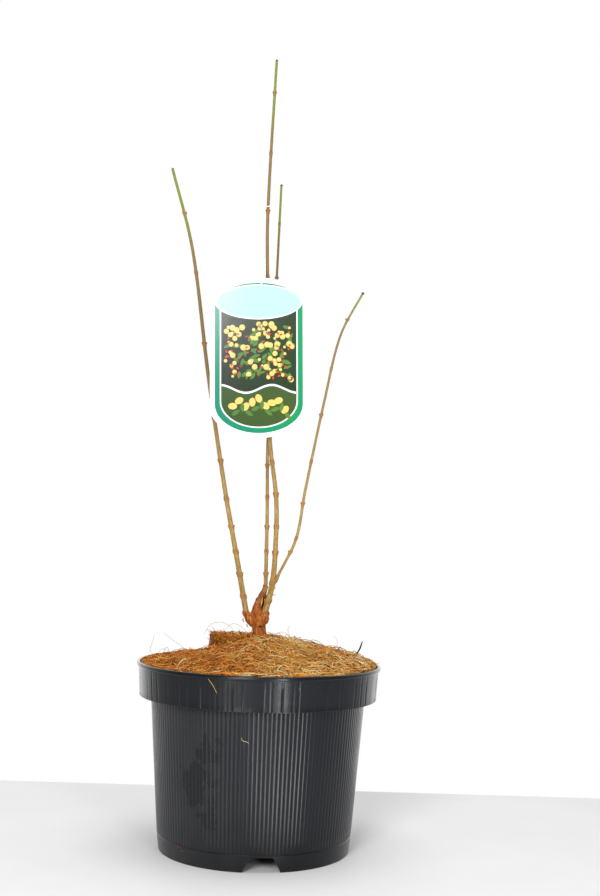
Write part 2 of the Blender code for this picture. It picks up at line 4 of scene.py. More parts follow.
import bmesh
import bpy
import numpy as np
from mathutils import Matrix, Vector, noise


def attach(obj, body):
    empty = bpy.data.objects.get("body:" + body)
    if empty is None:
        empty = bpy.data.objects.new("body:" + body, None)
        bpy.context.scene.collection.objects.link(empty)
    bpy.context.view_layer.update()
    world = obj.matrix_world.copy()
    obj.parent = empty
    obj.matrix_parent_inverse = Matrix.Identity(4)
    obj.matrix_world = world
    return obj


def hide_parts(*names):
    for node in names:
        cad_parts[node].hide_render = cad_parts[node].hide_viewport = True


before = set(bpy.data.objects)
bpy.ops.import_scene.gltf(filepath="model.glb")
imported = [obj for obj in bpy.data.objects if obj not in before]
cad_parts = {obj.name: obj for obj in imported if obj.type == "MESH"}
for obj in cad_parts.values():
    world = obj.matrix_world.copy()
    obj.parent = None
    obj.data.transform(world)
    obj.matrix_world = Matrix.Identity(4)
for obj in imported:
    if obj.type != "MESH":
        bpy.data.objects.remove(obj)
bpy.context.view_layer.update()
MM = 0.001

# Camera: it stands a metre in front of the pot, a little above the rim, and looks slightly up. It is
# rolled a little to the left, as the photograph is.
CAMERA_PLACE = Vector((26.22, -987.32, 249.22)) * MM
CAMERA_LOOKS_UP = math.radians(3.1745)
CAMERA_ROLL = math.radians(1.7336)
FOCAL_PIXELS = 1282.2
PICTURE_HEIGHT = 896

bpy.ops.object.camera_add(location=CAMERA_PLACE)
camera = bpy.context.object
level = Matrix.Rotation(math.pi / 2 + CAMERA_LOOKS_UP, 4, "X")
camera.matrix_world = Matrix.Translation(CAMERA_PLACE) @ level @ Matrix.Rotation(CAMERA_ROLL, 4, "Z")
camera.data.sensor_width = 36.0
camera.data.lens = FOCAL_PIXELS / PICTURE_HEIGHT * camera.data.sensor_width
camera.data.clip_start = 0.01
bpy.context.scene.camera = camera


# Stage: a pale table top that ends behind the pot, before a blown-out white backdrop, under soft studio
# light. None of it belongs to the plant.
TABLE_WIDTH = 4.0
TABLE_FRONT = -2.2
TABLE_BACK = 0.213
TABLE_SINK = 0.02 * MM


def fix_place():
    """Take the active object's place, turn and scale into its mesh."""
    bpy.ops.object.transform_apply(location=True, rotation=True, scale=True)


def link(tree, source, target):
    """Feed a socket from a number, a colour, another socket or a node's first output."""
    if isinstance(source, bpy.types.Node):
        source = source.outputs[0]
    if isinstance(source, bpy.types.NodeSocket):
        tree.links.new(source, target)
    else:
        target.default_value = (*source, 1.0) if target.type == "RGBA" else source


def new_material(name, colour, roughness, specular=0.5):
    """A material of one colour and gloss, and its tree and shader to build on."""
    made = bpy.data.materials.new(name)
    made.use_nodes = True
    shader = made.node_tree.nodes["Principled BSDF"]
    shader.inputs["Base Color"].default_value = (*colour, 1.0)
    shader.inputs["Roughness"].default_value = roughness
    shader.inputs["Specular IOR Level"].default_value = specular
    return made, made.node_tree, shader


def add_node(tree, kind, settings=None, **inputs):
    """A shader node with its settings. An input is named, or i and its number, and is fed as link says."""
    made = tree.nodes.new("ShaderNode" + kind)
    for key, value in (settings or {}).items():
        setattr(made, key, value)
    for key, value in inputs.items():
        link(tree, value, made.inputs[int(key[1:]) if key[1:].isdigit() else key])
    return made


def object_place(tree):
    return add_node(tree, "TexCoord").outputs["Object"]


def noisy(tree, place, scale, detail, **more):
    """Cloudy noise over a place."""
    return add_node(tree, "TexNoise", Vector=place, Scale=scale, Detail=detail, **more)


def ranged(tree, value, low, high, at_low=0.0, at_high=1.0):
    """Turn the run of a value from low to high into another run, clamped at its ends."""
    return add_node(tree, "MapRange", Value=value, i1=low, i2=high, i3=at_low, i4=at_high)


def ramped(tree, value, *stops):
    """A colour ramp with stops of a place and a colour: the lowest, the highest and any between."""
    made = add_node(tree, "ValToRGB", Fac=value)
    for number, (spot, colour) in enumerate(stops):
        stop = made.color_ramp.elements[number] if number < 2 else made.color_ramp.elements.new(spot)
        stop.position = spot
        stop.color = (*colour, 1.0)
    return made


bpy.ops.mesh.primitive_plane_add(size=1.0)
table = bpy.context.object
table.name = "table_top"
table.scale = (TABLE_WIDTH, TABLE_BACK - TABLE_FRONT, 1.0)
table.location = (0.0, (TABLE_BACK + TABLE_FRONT) / 2, -TABLE_SINK)
fix_place()
table_paint, tree, shader = new_material("pale_table", (0.80, 0.80, 0.81), 0.6, 0.05)
clouds = noisy(tree, object_place(tree), 9.0, 4.0)
shade = ramped(tree, clouds, (0.3, (0.87, 0.87, 0.88)), (0.7, (0.91, 0.91, 0.92)))
link(tree, shade, shader.inputs["Base Color"])
table.data.materials.append(table_paint)


def softbox(name, place, aims_at, width, height, watts):
    """A rectangular studio light at a place, turned towards a point."""
    bpy.ops.object.light_add(type="AREA", location=place)
    light = bpy.context.object
    light.name = name
    light.data.shape = "RECTANGLE"
    light.data.size = width
    light.data.size_y = height
    light.data.energy = watts
    light.rotation_euler = (Vector(aims_at) - Vector(place)).to_track_quat("-Z", "Y").to_euler()
    return light


softbox("key_light", (-0.46, -1.95, 0.98), (0.0, 0.0, 0.3), 0.6, 0.6, 26.0)
softbox("top_light", (0.1, -0.25, 1.9), (0.0, 0.0, 0.1), 1.2, 1.2, 13.0)
softbox("right_strip", (0.56, -1.35, 0.36), (0.0, 0.0, 0.10), 0.18, 0.7, 6.0)
softbox("left_strip", (-0.56, -1.35, 0.36), (0.0, 0.0, 0.10), 0.08, 0.7, 2.0)

# Two narrow light strips lie on the table in front, out of the picture. The pot's wall mirrors them.
STRIP_REACH = 0.335
STRIP_LENGTH = 0.53
STRIP_ABOVE_TABLE = 0.003
for side, width, watts in ((22.7, 0.036, 1.1), (-23.5, 0.022, 0.2)):
    turn = math.radians(side)
    strip = softbox("floor_strip", (0.0, 0.0, 1.0), (0.0, 0.0, 2.0), width, STRIP_LENGTH, watts)
    across, forward = math.sin(turn) * (STRIP_REACH + 0.078), math.cos(turn) * STRIP_REACH + 0.076
    strip.location = (across, -forward, STRIP_ABOVE_TABLE)
    strip.rotation_euler = (math.pi, 0.0, turn)
    strip.visible_camera = False

world = bpy.data.worlds.new("white_studio")
bpy.context.scene.world = world
world.use_nodes = True
tree = world.node_tree
sky = tree.nodes["Background"]
sky.inputs["Color"].default_value = (1.0, 1.0, 1.0, 1.0)
split = add_node(tree, "SeparateXYZ", Vector=add_node(tree, "TexCoord").outputs["Generated"])
front_to_back = ranged(tree, split.outputs["Y"], -1.0, 0.6, 0.12, 0.55)
seen = add_node(tree, "LightPath")
mirrored = ranged(tree, split.outputs["Y"], -0.1, 0.8, 0.08, 1.9)
for_gloss = add_node(tree, "Mix", Factor=seen.outputs["Is Glossy Ray"], i2=front_to_back, i3=mirrored)
brightness = add_node(tree, "Mix", Factor=seen.outputs["Is Camera Ray"], i2=for_gloss, i3=1.0)
link(tree, brightness, sky.inputs["Strength"])
bpy.context.scene.view_settings.view_transform = "Standard"


# Pot: one thin injection moulding of satin black plastic. The wall has fine upright ribs and steps out
# to a tall band under the rolled lip. The foot ring is notched so that water runs out from the base.
POT_HEIGHT = 139.3 * MM
LIP_RADIUS = 92.8 * MM
LIP_DEPTH = 3.2 * MM
BAND_TOP_RADIUS = 91.4 * MM
BAND_FOOT_RADIUS = 90.0 * MM
BAND_DEPTH = 25.2 * MM
BODY_TOP_RADIUS = 81.2 * MM
BODY_FOOT_RADIUS = 73.5 * MM
FOOT_RADIUS = 71.7 * MM
FOOT_HEIGHT = 12.6 * MM
POT_WALL = 1.2 * MM
FOOT_WALL = 2.0 * MM
BASE_UNDERSIDE = 11.6 * MM
BASE_THICKNESS = 1.4 * MM
RIBS = 146
COLUMNS_PER_RIB = 5
RIB_GROOVE = 0.28 * MM
RIB_SHOULDER = 0.05 * MM
BODY_ROWS = 14
BAND_ROWS = 5
NOTCHES = 3
NOTCH_TURN = math.radians(6.4)
NOTCH_FOOT_WIDTH = 28.0 * MM
NOTCH_TOP_WIDTH = 16.0 * MM
NOTCH_HEIGHT = 10.8 * MM
DRAINS = 6
DRAIN_TURN = math.radians(15.0)
DRAIN_RADIUS = 4.5 * MM
DRAIN_CIRCLE = 52.0 * MM
BAND_GROOVES = (0.06 * MM, 0.10 * MM, 0.16 * MM)
BAND_GROOVE_SHARE = 0.4
WET_SPOTS = (
    ((-41.0, -66.0, 62.0), 17.0), ((-34.0, -71.0, 86.0), 9.0), ((-30.0, -68.0, 38.0), 10.0),
    ((24.0, -88.0, 131.0), 13.0), ((40.0, -81.0, 130.0), 9.0),
)
WET_EDGE = 6.0

band_foot = POT_HEIGHT - BAND_DEPTH
lip_foot = POT_HEIGHT - LIP_DEPTH
base_top = BASE_UNDERSIDE + BASE_THICKNESS
body_foot = FOOT_HEIGHT + 0.9 * MM


def set_mode(mode):
    bpy.ops.object.mode_set(mode=mode)


def between(low, high, steps):
    """Evenly spaced (radius, height) points after low, up to high."""
    return [
        (low[0] + (high[0] - low[0]) * i / steps, low[1] + (high[1] - low[1]) * i / steps)
        for i in range(1, steps + 1)
    ]


def offset(radius, height, *steps):
    """(radius, height) points that lie so many mm outwards and upwards of one, or that one alone."""
    return [(radius + out * MM, height + up * MM) for out, up in steps or ((0.0, 0.0),)]


inside = offset(BODY_FOOT_RADIUS - POT_WALL, base_top, (-6.0, 0.0), (0.0, 0.0))
inside += offset(BODY_TOP_RADIUS - POT_WALL, band_foot + POT_WALL)
inside += offset(BAND_FOOT_RADIUS - POT_WALL, band_foot + POT_WALL)
inside += offset(BAND_TOP_RADIUS - POT_WALL, lip_foot)
inside += offset(LIP_RADIUS, POT_HEIGHT, (-2.4, -0.45))
lip = offset(LIP_RADIUS, POT_HEIGHT, (-2.0, -0.08), (-1.5, 0.0), (-0.8, -0.08), (-0.25, -0.5), (0.0, -1.1))
lip += offset(LIP_RADIUS, lip_foot, (0.0, 0.8), (-0.4, 0.25))
lip += offset(BAND_TOP_RADIUS, lip_foot)
band = between((BAND_TOP_RADIUS, lip_foot), (BAND_FOOT_RADIUS, band_foot + 1.0 * MM), BAND_ROWS)
band += offset(BAND_FOOT_RADIUS, band_foot, (0.12, 0.6), (0.0, 0.15), (-0.5, 0.0))
band += offset(BODY_TOP_RADIUS, band_foot, (0.6, 0.0), (0.0, -0.6))
body = between((BODY_TOP_RADIUS, band_foot - 0.6 * MM), (BODY_FOOT_RADIUS, body_foot), BODY_ROWS)
foot = offset(BODY_FOOT_RADIUS, FOOT_HEIGHT, (-0.45, 0.45), (-0.5, -0.1), (-0.1, -0.6))
foot += offset(FOOT_RADIUS, 0.0, (0.25, 1.0), (0.0, 0.3), (-0.35, 0.0))
foot += offset(FOOT_RADIUS - FOOT_WALL, 0.0)
foot += offset(BODY_FOOT_RADIUS, BASE_UNDERSIDE, (-3.2, 0.0))

columns = RIBS * COLUMNS_PER_RIB
bpy.ops.mesh.primitive_circle_add(
    vertices=columns, radius=inside[0][0], location=(0.0, 0.0, inside[0][1]), fill_type="TRIFAN"
)
pot = bpy.context.object
pot.name = "nursery_pot"
fix_place()
set_mode("EDIT")


def select_edit(test):
    """In edit mode, select just the vertices whose place passes the test."""
    bpy.ops.mesh.select_mode(type="VERT")
    bpy.ops.mesh.select_all(action="DESELECT")
    mesh = bmesh.from_edit_mesh(bpy.context.object.data)
    for vertex in mesh.verts:
        if test(vertex.co):
            vertex.select_set(True)
    mesh.select_flush_mode()
    bmesh.update_edit_mesh(bpy.context.object.data)


def faces_out():
    """In edit mode, select the whole mesh and turn its faces outwards."""
    bpy.ops.mesh.select_all(action="SELECT")
    bpy.ops.mesh.normals_make_consistent(inside=False)


def close_end():
    """Fill the selected open end of a shell in edit mode, and turn all faces outwards."""
    bpy.ops.mesh.edge_face_add()
    bpy.ops.mesh.poke()
    faces_out()


select_edit(lambda place: math.hypot(place.x, place.y) > inside[0][0] * 0.9)
radius, height = inside[0]
for next_radius, next_height in inside[1:] + lip + band + body + foot:
    bpy.ops.mesh.extrude_region_move(TRANSFORM_OT_translate={"value": (0.0, 0.0, next_height - height)})
    share = next_radius / radius
    bpy.ops.transform.resize(value=(share, share, 1.0), center_override=(0.0, 0.0, next_height))
    radius, height = next_radius, next_height
close_end()


def column_of(place):
    return round(math.atan2(place.x, -place.y) / math.tau * columns) % columns


def squeeze_columns(chosen, low, high, depth, outside_of):
    """Move the outer wall's chosen columns of points in towards the axis, between two heights."""
    def on_wall(place):
        out = math.hypot(place.x, place.y)
        return low <= place.z <= high and out > outside_of(place.z) and column_of(place) in chosen

    select_edit(on_wall)
    share = 1.0 - depth / BODY_TOP_RADIUS
    bpy.ops.transform.resize(value=(share, share, 1.0), center_override=(0.0, 0.0, 0.0))


def body_middle(z):
    """Half-way through the body's wall at a height."""
    share = (z - body_foot) / (band_foot - body_foot)
    return BODY_FOOT_RADIUS + (BODY_TOP_RADIUS - BODY_FOOT_RADIUS) * share - POT_WALL / 2


grooves = set(range(0, columns, COLUMNS_PER_RIB))
shoulders = {(k + side) % columns for k in grooves for side in (-1, 1)}
rib_low = body_foot - 0.1 * MM
rib_high = band_foot - 0.5 * MM
squeeze_columns(grooves, rib_low, rib_high, RIB_GROOVE, body_middle)
squeeze_columns(shoulders, rib_low, rib_high, RIB_SHOULDER, body_middle)
draw = random.Random(5)
for depth in BAND_GROOVES:
    chosen = {k for k in grooves if draw.random() < BAND_GROOVE_SHARE}
    squeeze_columns(chosen, band_foot + 0.5 * MM, lip_foot - 3.0 * MM, depth,
                    lambda z: BAND_FOOT_RADIUS - 0.6 * MM)
set_mode("OBJECT")

cutters = []
for i in range(NOTCHES):
    bpy.ops.mesh.primitive_cube_add(size=1.0, location=(0.0, 0.0, 0.0))
    cutter = bpy.context.object
    reach_in, reach_out, below = 55.0 * MM, 85.0 * MM, 4.0 * MM
    lean = (NOTCH_FOOT_WIDTH - NOTCH_TOP_WIDTH) / NOTCH_HEIGHT
    for vertex in cutter.data.vertices:
        wide = NOTCH_TOP_WIDTH if vertex.co.z > 0 else NOTCH_FOOT_WIDTH + lean * below
        vertex.co.x = math.copysign(wide / 2, vertex.co.x)
        vertex.co.y = -reach_in if vertex.co.y > 0 else -reach_out
        vertex.co.z = NOTCH_HEIGHT if vertex.co.z > 0 else -below
    set_mode("EDIT")
    select_edit(lambda place: place.z > 0)
    bpy.ops.mesh.bevel(offset=0.9 * MM, segments=3, affect="EDGES")
    set_mode("OBJECT")
    cutter.rotation_euler.z = NOTCH_TURN + i * math.tau / NOTCHES
    cutters.append(cutter)
for i in range(DRAINS):
    angle = DRAIN_TURN + i * math.tau / DRAINS
    spot = (DRAIN_CIRCLE * math.cos(angle), DRAIN_CIRCLE * math.sin(angle), BASE_UNDERSIDE)
    bpy.ops.mesh.primitive_cylinder_add(vertices=32, radius=DRAIN_RADIUS, depth=8.0 * MM, location=spot)
    cutters.append(bpy.context.object)


def pick(thing):
    """Select one object alone and make it the active one."""
    bpy.ops.object.select_all(action="DESELECT")
    bpy.context.view_layer.objects.active = thing
    thing.select_set(True)


def cut_away(thing, tools):
    """Cut the tools out of a piece and delete them."""
    for tool in tools:
        pick(thing)
        cut = thing.modifiers.new("cut", "BOOLEAN")
        cut.operation = "DIFFERENCE"
        cut.object = tool
        cut.solver = "EXACT"
        bpy.ops.object.modifier_apply(modifier=cut.name)
        bpy.data.objects.remove(tool, do_unlink=True)


cut_away(pot, cutters)


def smooth(thing, degrees):
    pick(thing)
    bpy.ops.object.shade_smooth_by_angle(angle=math.radians(degrees))


smooth(pot, 32.0)


def worked(tree, operation, *values):
    """A number worked out from others by one operation."""
    return add_node(tree, "Math", {"operation": operation}, **{f"i{k}": v for k, v in enumerate(values)})


def mixed(tree, share, first, second):
    """A share of the way from a first colour to a second."""
    return add_node(tree, "MixRGB", i0=share, i1=first, i2=second)


def bump(tree, shader, strength, depth, height):
    """Give a shader a bump with a depth in mm, on top of any that it has."""
    made = add_node(tree, "Bump", Strength=strength, Distance=depth * MM, Height=height)
    for earlier in shader.inputs["Normal"].links:
        link(tree, earlier.from_socket, made.inputs["Normal"])
    link(tree, made, shader.inputs["Normal"])


pot_plastic, tree, shader = new_material("satin_black_plastic", (0.006, 0.007, 0.009), 0.3, 0.26)
shader.inputs["Anisotropic"].default_value = 0.75
shader.inputs["Anisotropic Rotation"].default_value = 0.25
place = object_place(tree)
parts = add_node(tree, "SeparateXYZ", Vector=place)
grime = noisy(tree, place, 38.0, 6.0, Roughness=0.62)
left_side = ranged(tree, parts.outputs["X"], -0.006, -0.055)
low_down = ranged(tree, parts.outputs["Z"], 0.118, 0.108)
dusty = worked(tree, "MULTIPLY", left_side, low_down)
speckled = ranged(tree, grime, 0.3, 0.66, 0.35)
dust = worked(tree, "MULTIPLY", dusty, speckled)
wobble = noisy(tree, place, 70.0, 3.0)
bent = add_node(tree, "MixRGB", {"blend_type": "LINEAR_LIGHT"}, i0=0.018, i1=place, i2=wobble.outputs[1])
wet = None
for spot, reach in WET_SPOTS:
    far = add_node(tree, "VectorMath", {"operation": "DISTANCE"}, i0=bent, i1=[c * MM for c in spot])
    near = ranged(tree, far.outputs["Value"], reach * MM, (reach - WET_EDGE) * MM)
    wet = near if wet is None else worked(tree, "MAXIMUM", wet, near)
dry = add_node(tree, "Math", {"operation": "SUBTRACT", "use_clamp": True}, i0=dust, i1=wet)
tint = mixed(tree, dry, (0.006, 0.007, 0.009), (0.026, 0.027, 0.029))
link(tree, tint, shader.inputs["Base Color"])
gloss = ranged(tree, grime, 0.3, 0.7, 0.27, 0.34)
hazy = worked(tree, "MULTIPLY_ADD", dry, 0.2, gloss)
sleek = worked(tree, "MULTIPLY_ADD", wet, -0.1, hazy)
link(tree, sleek, shader.inputs["Roughness"])
squat = add_node(tree, "Mapping", Vector=place, Scale=(120.0, 120.0, 2600.0))
flow = noisy(tree, squat, 1.0, 1.0)
bump(tree, shader, 0.5, 0.12, flow)
bump(tree, shader, 0.4, 0.05, grime)
pot.data.materials.append(pot_plastic)
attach(pot, "root")
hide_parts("pot")


# Soil: moist dark peat compost that fills the pot under the mat. It is crumbly and uneven.
soil_look, tree, shader = new_material("moist_compost", (0.03, 0.018, 0.011), 0.85)
place = object_place(tree)
crumbs = add_node(tree, "TexVoronoi", Vector=place, Scale=520.0)
clods = noisy(tree, place, 210.0, 6.0)
ramp = ramped(tree, clods, (0.0, (0.012, 0.007, 0.004)), (1.0, (0.075, 0.045, 0.026)))
link(tree, ramp, shader.inputs["Base Color"])
bump(tree, shader, 0.8, 0.8, crumbs.outputs["Distance"])
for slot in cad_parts["potting_soil"].material_slots:
    slot.material = soil_look


# Coir mat: a disc of matted coconut fibre, slit so that it goes round the trunk. One side of the slit
# stands up and the other lies sunken. A felted core, dark partly in its own brown and partly as painted
# shade for the gaps between strands, carries thousands of loose curled strands.
MAT_RADIUS = 89.5
MAT_HOLE = 6.8
MAT_HOLE_FOOT = 9.0
SLIT_DIRECTION = math.radians(118.8)
SLIT_WIDTH = 0.6
MAT_THICKNESS = 5.0
MAT_CROWN = 19.8
DOME_RIM = 140.2
SUNKEN_RIM = 138.6
EVEN_FROM = 75.0
EVEN_OVER = 65.0
LIFT = 13.5
LIFT_OVER = 88.0
STRAND_BED = 2.4
LEVEL_WITHIN = 13.0
FELT_RELIEF = 1.5
MAT_COLUMNS = 420
MAT_RINGS = 74
STRANDS = 12500
STRAND_STEPS = 8
STRAND_LENGTHS = (7.0, 27.0)
STRAND_WIDTHS = (0.30, 0.66)
STRAND_REACH = (6.6, 89.3)
WILD_SHARE = 0.05


def dome(radius):
    """The height in mm of the mat's raised part."""
    return DOME_RIM + MAT_CROWN * (1.0 - (radius / MAT_RADIUS) ** 1.2)


def sunken(radius):
    """The height in mm of the mat's sunken part."""
    return SUNKEN_RIM + MAT_CROWN * np.clip(1.0 - radius / MAT_RADIUS, 0.0, 1.0) ** 1.6


def smooth_step(share):
    share = np.clip(share, 0.0, 1.0)
    return share * share * (3.0 - 2.0 * share)


def mat_top(x, y):
    """The mat's upper face in mm at places in mm, for single numbers or arrays."""
    radius = np.minimum(np.hypot(x, y), MAT_RADIUS)
    turn = np.degrees(np.arctan2(y, x) - SLIT_DIRECTION) % 360.0
    even = smooth_step((turn - EVEN_FROM) / EVEN_OVER)
    lift = smooth_step(1.0 - (360.0 - turn) / LIFT_OVER) * LIFT * (radius / MAT_RADIUS) ** 2.1
    return sunken(radius) + (dome(radius) - sunken(radius)) * even + lift


bpy.ops.mesh.primitive_grid_add(x_subdivisions=MAT_COLUMNS, y_subdivisions=MAT_RINGS, size=1.0)
core = bpy.context.object
core.name = "coir_core"
set_mode("EDIT")
bpy.ops.mesh.select_all(action="SELECT")
bpy.ops.mesh.extrude_region_move(TRANSFORM_OT_translate={"value": (0.0, 0.0, 1.0)})
set_mode("OBJECT")
for vertex in core.data.vertices:
    top = vertex.co.z > 0.5
    share = vertex.co.y + 0.5
    hole = MAT_HOLE if top else MAT_HOLE_FOOT
    radius = hole + (MAT_RADIUS - hole) * share
    gap = SLIT_WIDTH / radius
    angle = SLIT_DIRECTION + gap / 2 + (math.tau - gap) * (vertex.co.x + 0.5)
    x, y = radius * math.cos(angle), radius * math.sin(angle)
    if top:
        felt = noise.fractal(Vector((x, y, 3.0)) * 0.22, 0.6, 2.1, 4) * FELT_RELIEF
        z = float(mat_top(x, y)) - STRAND_BED + felt * min(1.0, 6.0 * (1.0 - share) + 0.2)
    else:
        z = float(sunken(max(radius, LEVEL_WITHIN))) - MAT_THICKNESS
    vertex.co = Vector((x, y, z)) * MM
set_mode("EDIT")
faces_out()
set_mode("OBJECT")
smooth(core, 60.0)
# The core's dark brown is partly the felt's own colour and partly painted shade for the gaps between the
# loose strands above it.
felt_and_gap_shade_look, tree, shader = new_material("felted_coir_with_gap_shade", (0.16, 0.065, 0.02), 0.9)
place = object_place(tree)
tufts = noisy(tree, place, 420.0, 8.0, Distortion=1.4)
ramp = ramped(tree, tufts, (0.35, (0.035, 0.012, 0.004)), (0.7, (0.26, 0.10, 0.028)))
link(tree, ramp, shader.inputs["Base Color"])
bump(tree, shader, 0.9, 0.7, tufts)
core.data.materials.append(felt_and_gap_shade_look)
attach(core, "root")
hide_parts("coir_mat")


def add_object(name, data):
    """An object in the scene for a mesh or curve."""
    made = bpy.data.objects.new(name, data)
    bpy.context.collection.objects.link(made)
    return made


def strand_mesh(name, paths, thickness, look):
    """Three-sided tapering strands, one along each row of points in mm, joined into one piece."""
    count, steps = paths.shape[:2]
    along = np.gradient(paths, axis=1)
    along /= np.linalg.norm(along, axis=2, keepdims=True) + 1e-9
    side = np.cross(along, np.array((0.31, 0.17, 0.93)))
    side /= np.linalg.norm(side, axis=2, keepdims=True) + 1e-9
    up = np.cross(along, side)
    turns = (np.arange(3) * math.tau / 3)[None, None, :, None]
    taper = 1.0 - 0.6 * np.abs(np.linspace(-1.0, 1.0, steps)) ** 3
    width = (thickness[:, None] * taper[None, :])[:, :, None, None] / 2
    around = side[:, :, None] * np.cos(turns) + up[:, :, None] * np.sin(turns)
    corners = paths[:, :, None] + around * width
    numbers = np.arange(count * steps * 3).reshape(count, steps, 3)
    after = np.roll(numbers, -1, axis=2)
    walls = np.stack((numbers[:, :-1], after[:, :-1], after[:, 1:], numbers[:, 1:]), axis=-1).reshape(-1, 4)
    ends = np.concatenate((numbers[:, 0, ::-1], numbers[:, -1]))
    mesh = bpy.data.meshes.new(name)
    mesh.from_pydata((corners.reshape(-1, 3) * MM).tolist(), [], walls.tolist() + ends.tolist())
    mesh.shade_smooth()
    made = add_object(name, mesh)
    made.data.materials.append(look)
    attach(made, "root")


def fibre_look(name, colour):
    """A dull dry fibre of one tone, darker and lighter in places."""
    made, tree, shader = new_material(name, colour, 0.62, 0.15)
    place = object_place(tree)
    patchy = noisy(tree, place, 160.0, 3.0)
    darker = [c * 0.55 for c in colour]
    lighter = [min(1.0, c * 1.25) for c in colour]
    link(tree, mixed(tree, patchy, darker, lighter), shader.inputs["Base Color"])
    return made


draw = np.random.default_rng(11)
start_radius = np.sqrt(draw.uniform(6.0 ** 2, 88.5 ** 2, STRANDS))
start_turn = draw.uniform(0.0, math.tau, STRANDS)
length = draw.uniform(*STRAND_LENGTHS, STRANDS)
heading = draw.uniform(0.0, math.tau, STRANDS)
curl = draw.normal(0.0, 0.26, STRANDS)
base_lift = draw.uniform(-2.6, -0.2, STRANDS)
arch = draw.gamma(1.3, 0.8, STRANDS)
tilt = draw.normal(0.0, 1.5, STRANDS)
wild = draw.random(STRANDS) < WILD_SHARE
arch[wild] += draw.uniform(0.5, 3.0, int(wild.sum()))
xs = [start_radius * np.cos(start_turn)]
ys = [start_radius * np.sin(start_turn)]
for i in range(STRAND_STEPS - 1):
    heading = heading + curl + draw.normal(0.0, 0.22, STRANDS)
    xs.append(xs[-1] + np.cos(heading) * length / (STRAND_STEPS - 1))
    ys.append(ys[-1] + np.sin(heading) * length / (STRAND_STEPS - 1))
xs, ys = np.stack(xs, axis=1), np.stack(ys, axis=1)
reach = np.hypot(xs, ys)
kept = np.clip(reach, *STRAND_REACH)
xs, ys = xs * kept / reach, ys * kept / reach
share = np.linspace(0.0, 1.0, STRAND_STEPS)[None, :]
lifts = base_lift[:, None] + arch[:, None] * np.sin(share * math.pi) + tilt[:, None] * (share - 0.5)
lifts = np.where(kept > 84.0, np.minimum(lifts, 1.2), lifts)
heights = mat_top(xs, ys) + np.maximum(lifts, -STRAND_BED)
strand_paths = np.stack((xs, ys, heights), axis=-1)
strand_width = draw.uniform(*STRAND_WIDTHS, STRANDS)

TONES = (
    ("cream", (0.95, 0.74, 0.40)), ("straw", (0.84, 0.50, 0.145)), ("tan", (0.64, 0.32, 0.07)),
    ("golden", (0.82, 0.38, 0.055)), ("orange", (0.68, 0.22, 0.022)), ("rust", (0.42, 0.11, 0.014)),
    ("brown", (0.17, 0.045, 0.010)), ("umber", (0.05, 0.018, 0.008)),
)
PALE_MIX = np.array((0.12, 0.22, 0.20, 0.18, 0.08, 0.07, 0.07, 0.06))
WARM_MIX = np.array((0.015, 0.04, 0.08, 0.14, 0.28, 0.24, 0.12, 0.085))
# Painted shade: strands that start deep in the mat are dealt mostly the dark tones, and every dark strand is
# sunk lower, so dark fibre fills the gaps where shade falls.
DEEP_SHADE_MIX = np.array((0, 0, 0, 0, 0.3, 0.9, 1.2, 0.9))
DARK_TONES = 6
DARK_TONES_SUNK_AS_SHADE = 1.2
middle_x = strand_paths[:, 3, 0]
warm = smooth_step(0.5 - (middle_x + 4.0) / 52.0 + draw.normal(0.0, 0.16, STRANDS))
chance = PALE_MIX[None] * (1 - warm[:, None]) + WARM_MIX[None] * warm[:, None]
low = (base_lift < -1.9)[:, None] * DEEP_SHADE_MIX[None]
chance = np.cumsum(chance * (1 + 4 * low), axis=1)
tone = (draw.random(STRANDS)[:, None] * chance[:, -1:] > chance).sum(axis=1)
# Dark strands sink into the gaps as painted shade.
strand_paths[tone >= DARK_TONES, :, 2] -= DARK_TONES_SUNK_AS_SHADE
fibre_looks = {}
for number, (word, colour) in enumerate(TONES):
    fibre_looks[word] = fibre_look("coir_" + word, colour)
    chosen = tone == number
    strand_mesh("coir_strands_" + word, strand_paths[chosen], strand_width[chosen], fibre_looks[word])


def through(points, steps):
    """A smooth row of points through a few given points, in mm."""
    points = np.array(points, dtype=float)
    padded = np.vstack((2 * points[0] - points[1], points, 2 * points[-1] - points[-2]))
    out = []
    for s in np.linspace(0.0, len(points) - 1.0, steps):
        i = min(int(s), len(points) - 2)
        t = s - i
        a, b, c, d = padded[i:i + 4]
        out.append(0.5 * (2 * b + (c - a) * t + (2 * a - 5 * b + 4 * c - d) * t ** 2
                          + (3 * b - a - 3 * c + d) * t ** 3))
    return np.array(out)


# Frayed edge: short ends of fibre that stand out of the slit's raised cut face.
FRAYED_ENDS = 900
edge_radius = draw.uniform(12.0, 88.0, FRAYED_ENDS)
edge_turn = SLIT_DIRECTION - draw.uniform(0.4, 2.6, FRAYED_ENDS) / edge_radius
edge_x, edge_y = edge_radius * np.cos(edge_turn), edge_radius * np.sin(edge_turn)
edge_low, edge_high = sunken(edge_radius) - 3.0, mat_top(edge_x, edge_y) + 0.6
edge_z = edge_low + (edge_high - edge_low) * draw.random(FRAYED_ENDS) ** 0.7
out_turn = SLIT_DIRECTION + math.pi / 2 + draw.normal(0.0, 0.7, FRAYED_ENDS)
reach_out = draw.uniform(1.5, 5.5, FRAYED_ENDS)
rise = draw.normal(0.6, 2.0, FRAYED_ENDS)
frays = []
for share in np.linspace(0.0, 1.0, 5):
    swing = out_turn + share * draw.normal(0.0, 0.5, FRAYED_ENDS)
    x = edge_x + np.cos(swing) * reach_out * share
    y = edge_y + np.sin(swing) * reach_out * share
    frays.append(np.stack((x, y, edge_z + rise * share ** 1.5), axis=-1))
frays = np.stack(frays, axis=1)
fray_width = draw.uniform(0.28, 0.55, FRAYED_ENDS)
for start, word in enumerate(("golden", "orange", "rust")):
    strand_mesh("frayed_ends_" + word, frays[start::3], fray_width[start::3], fibre_looks[word])


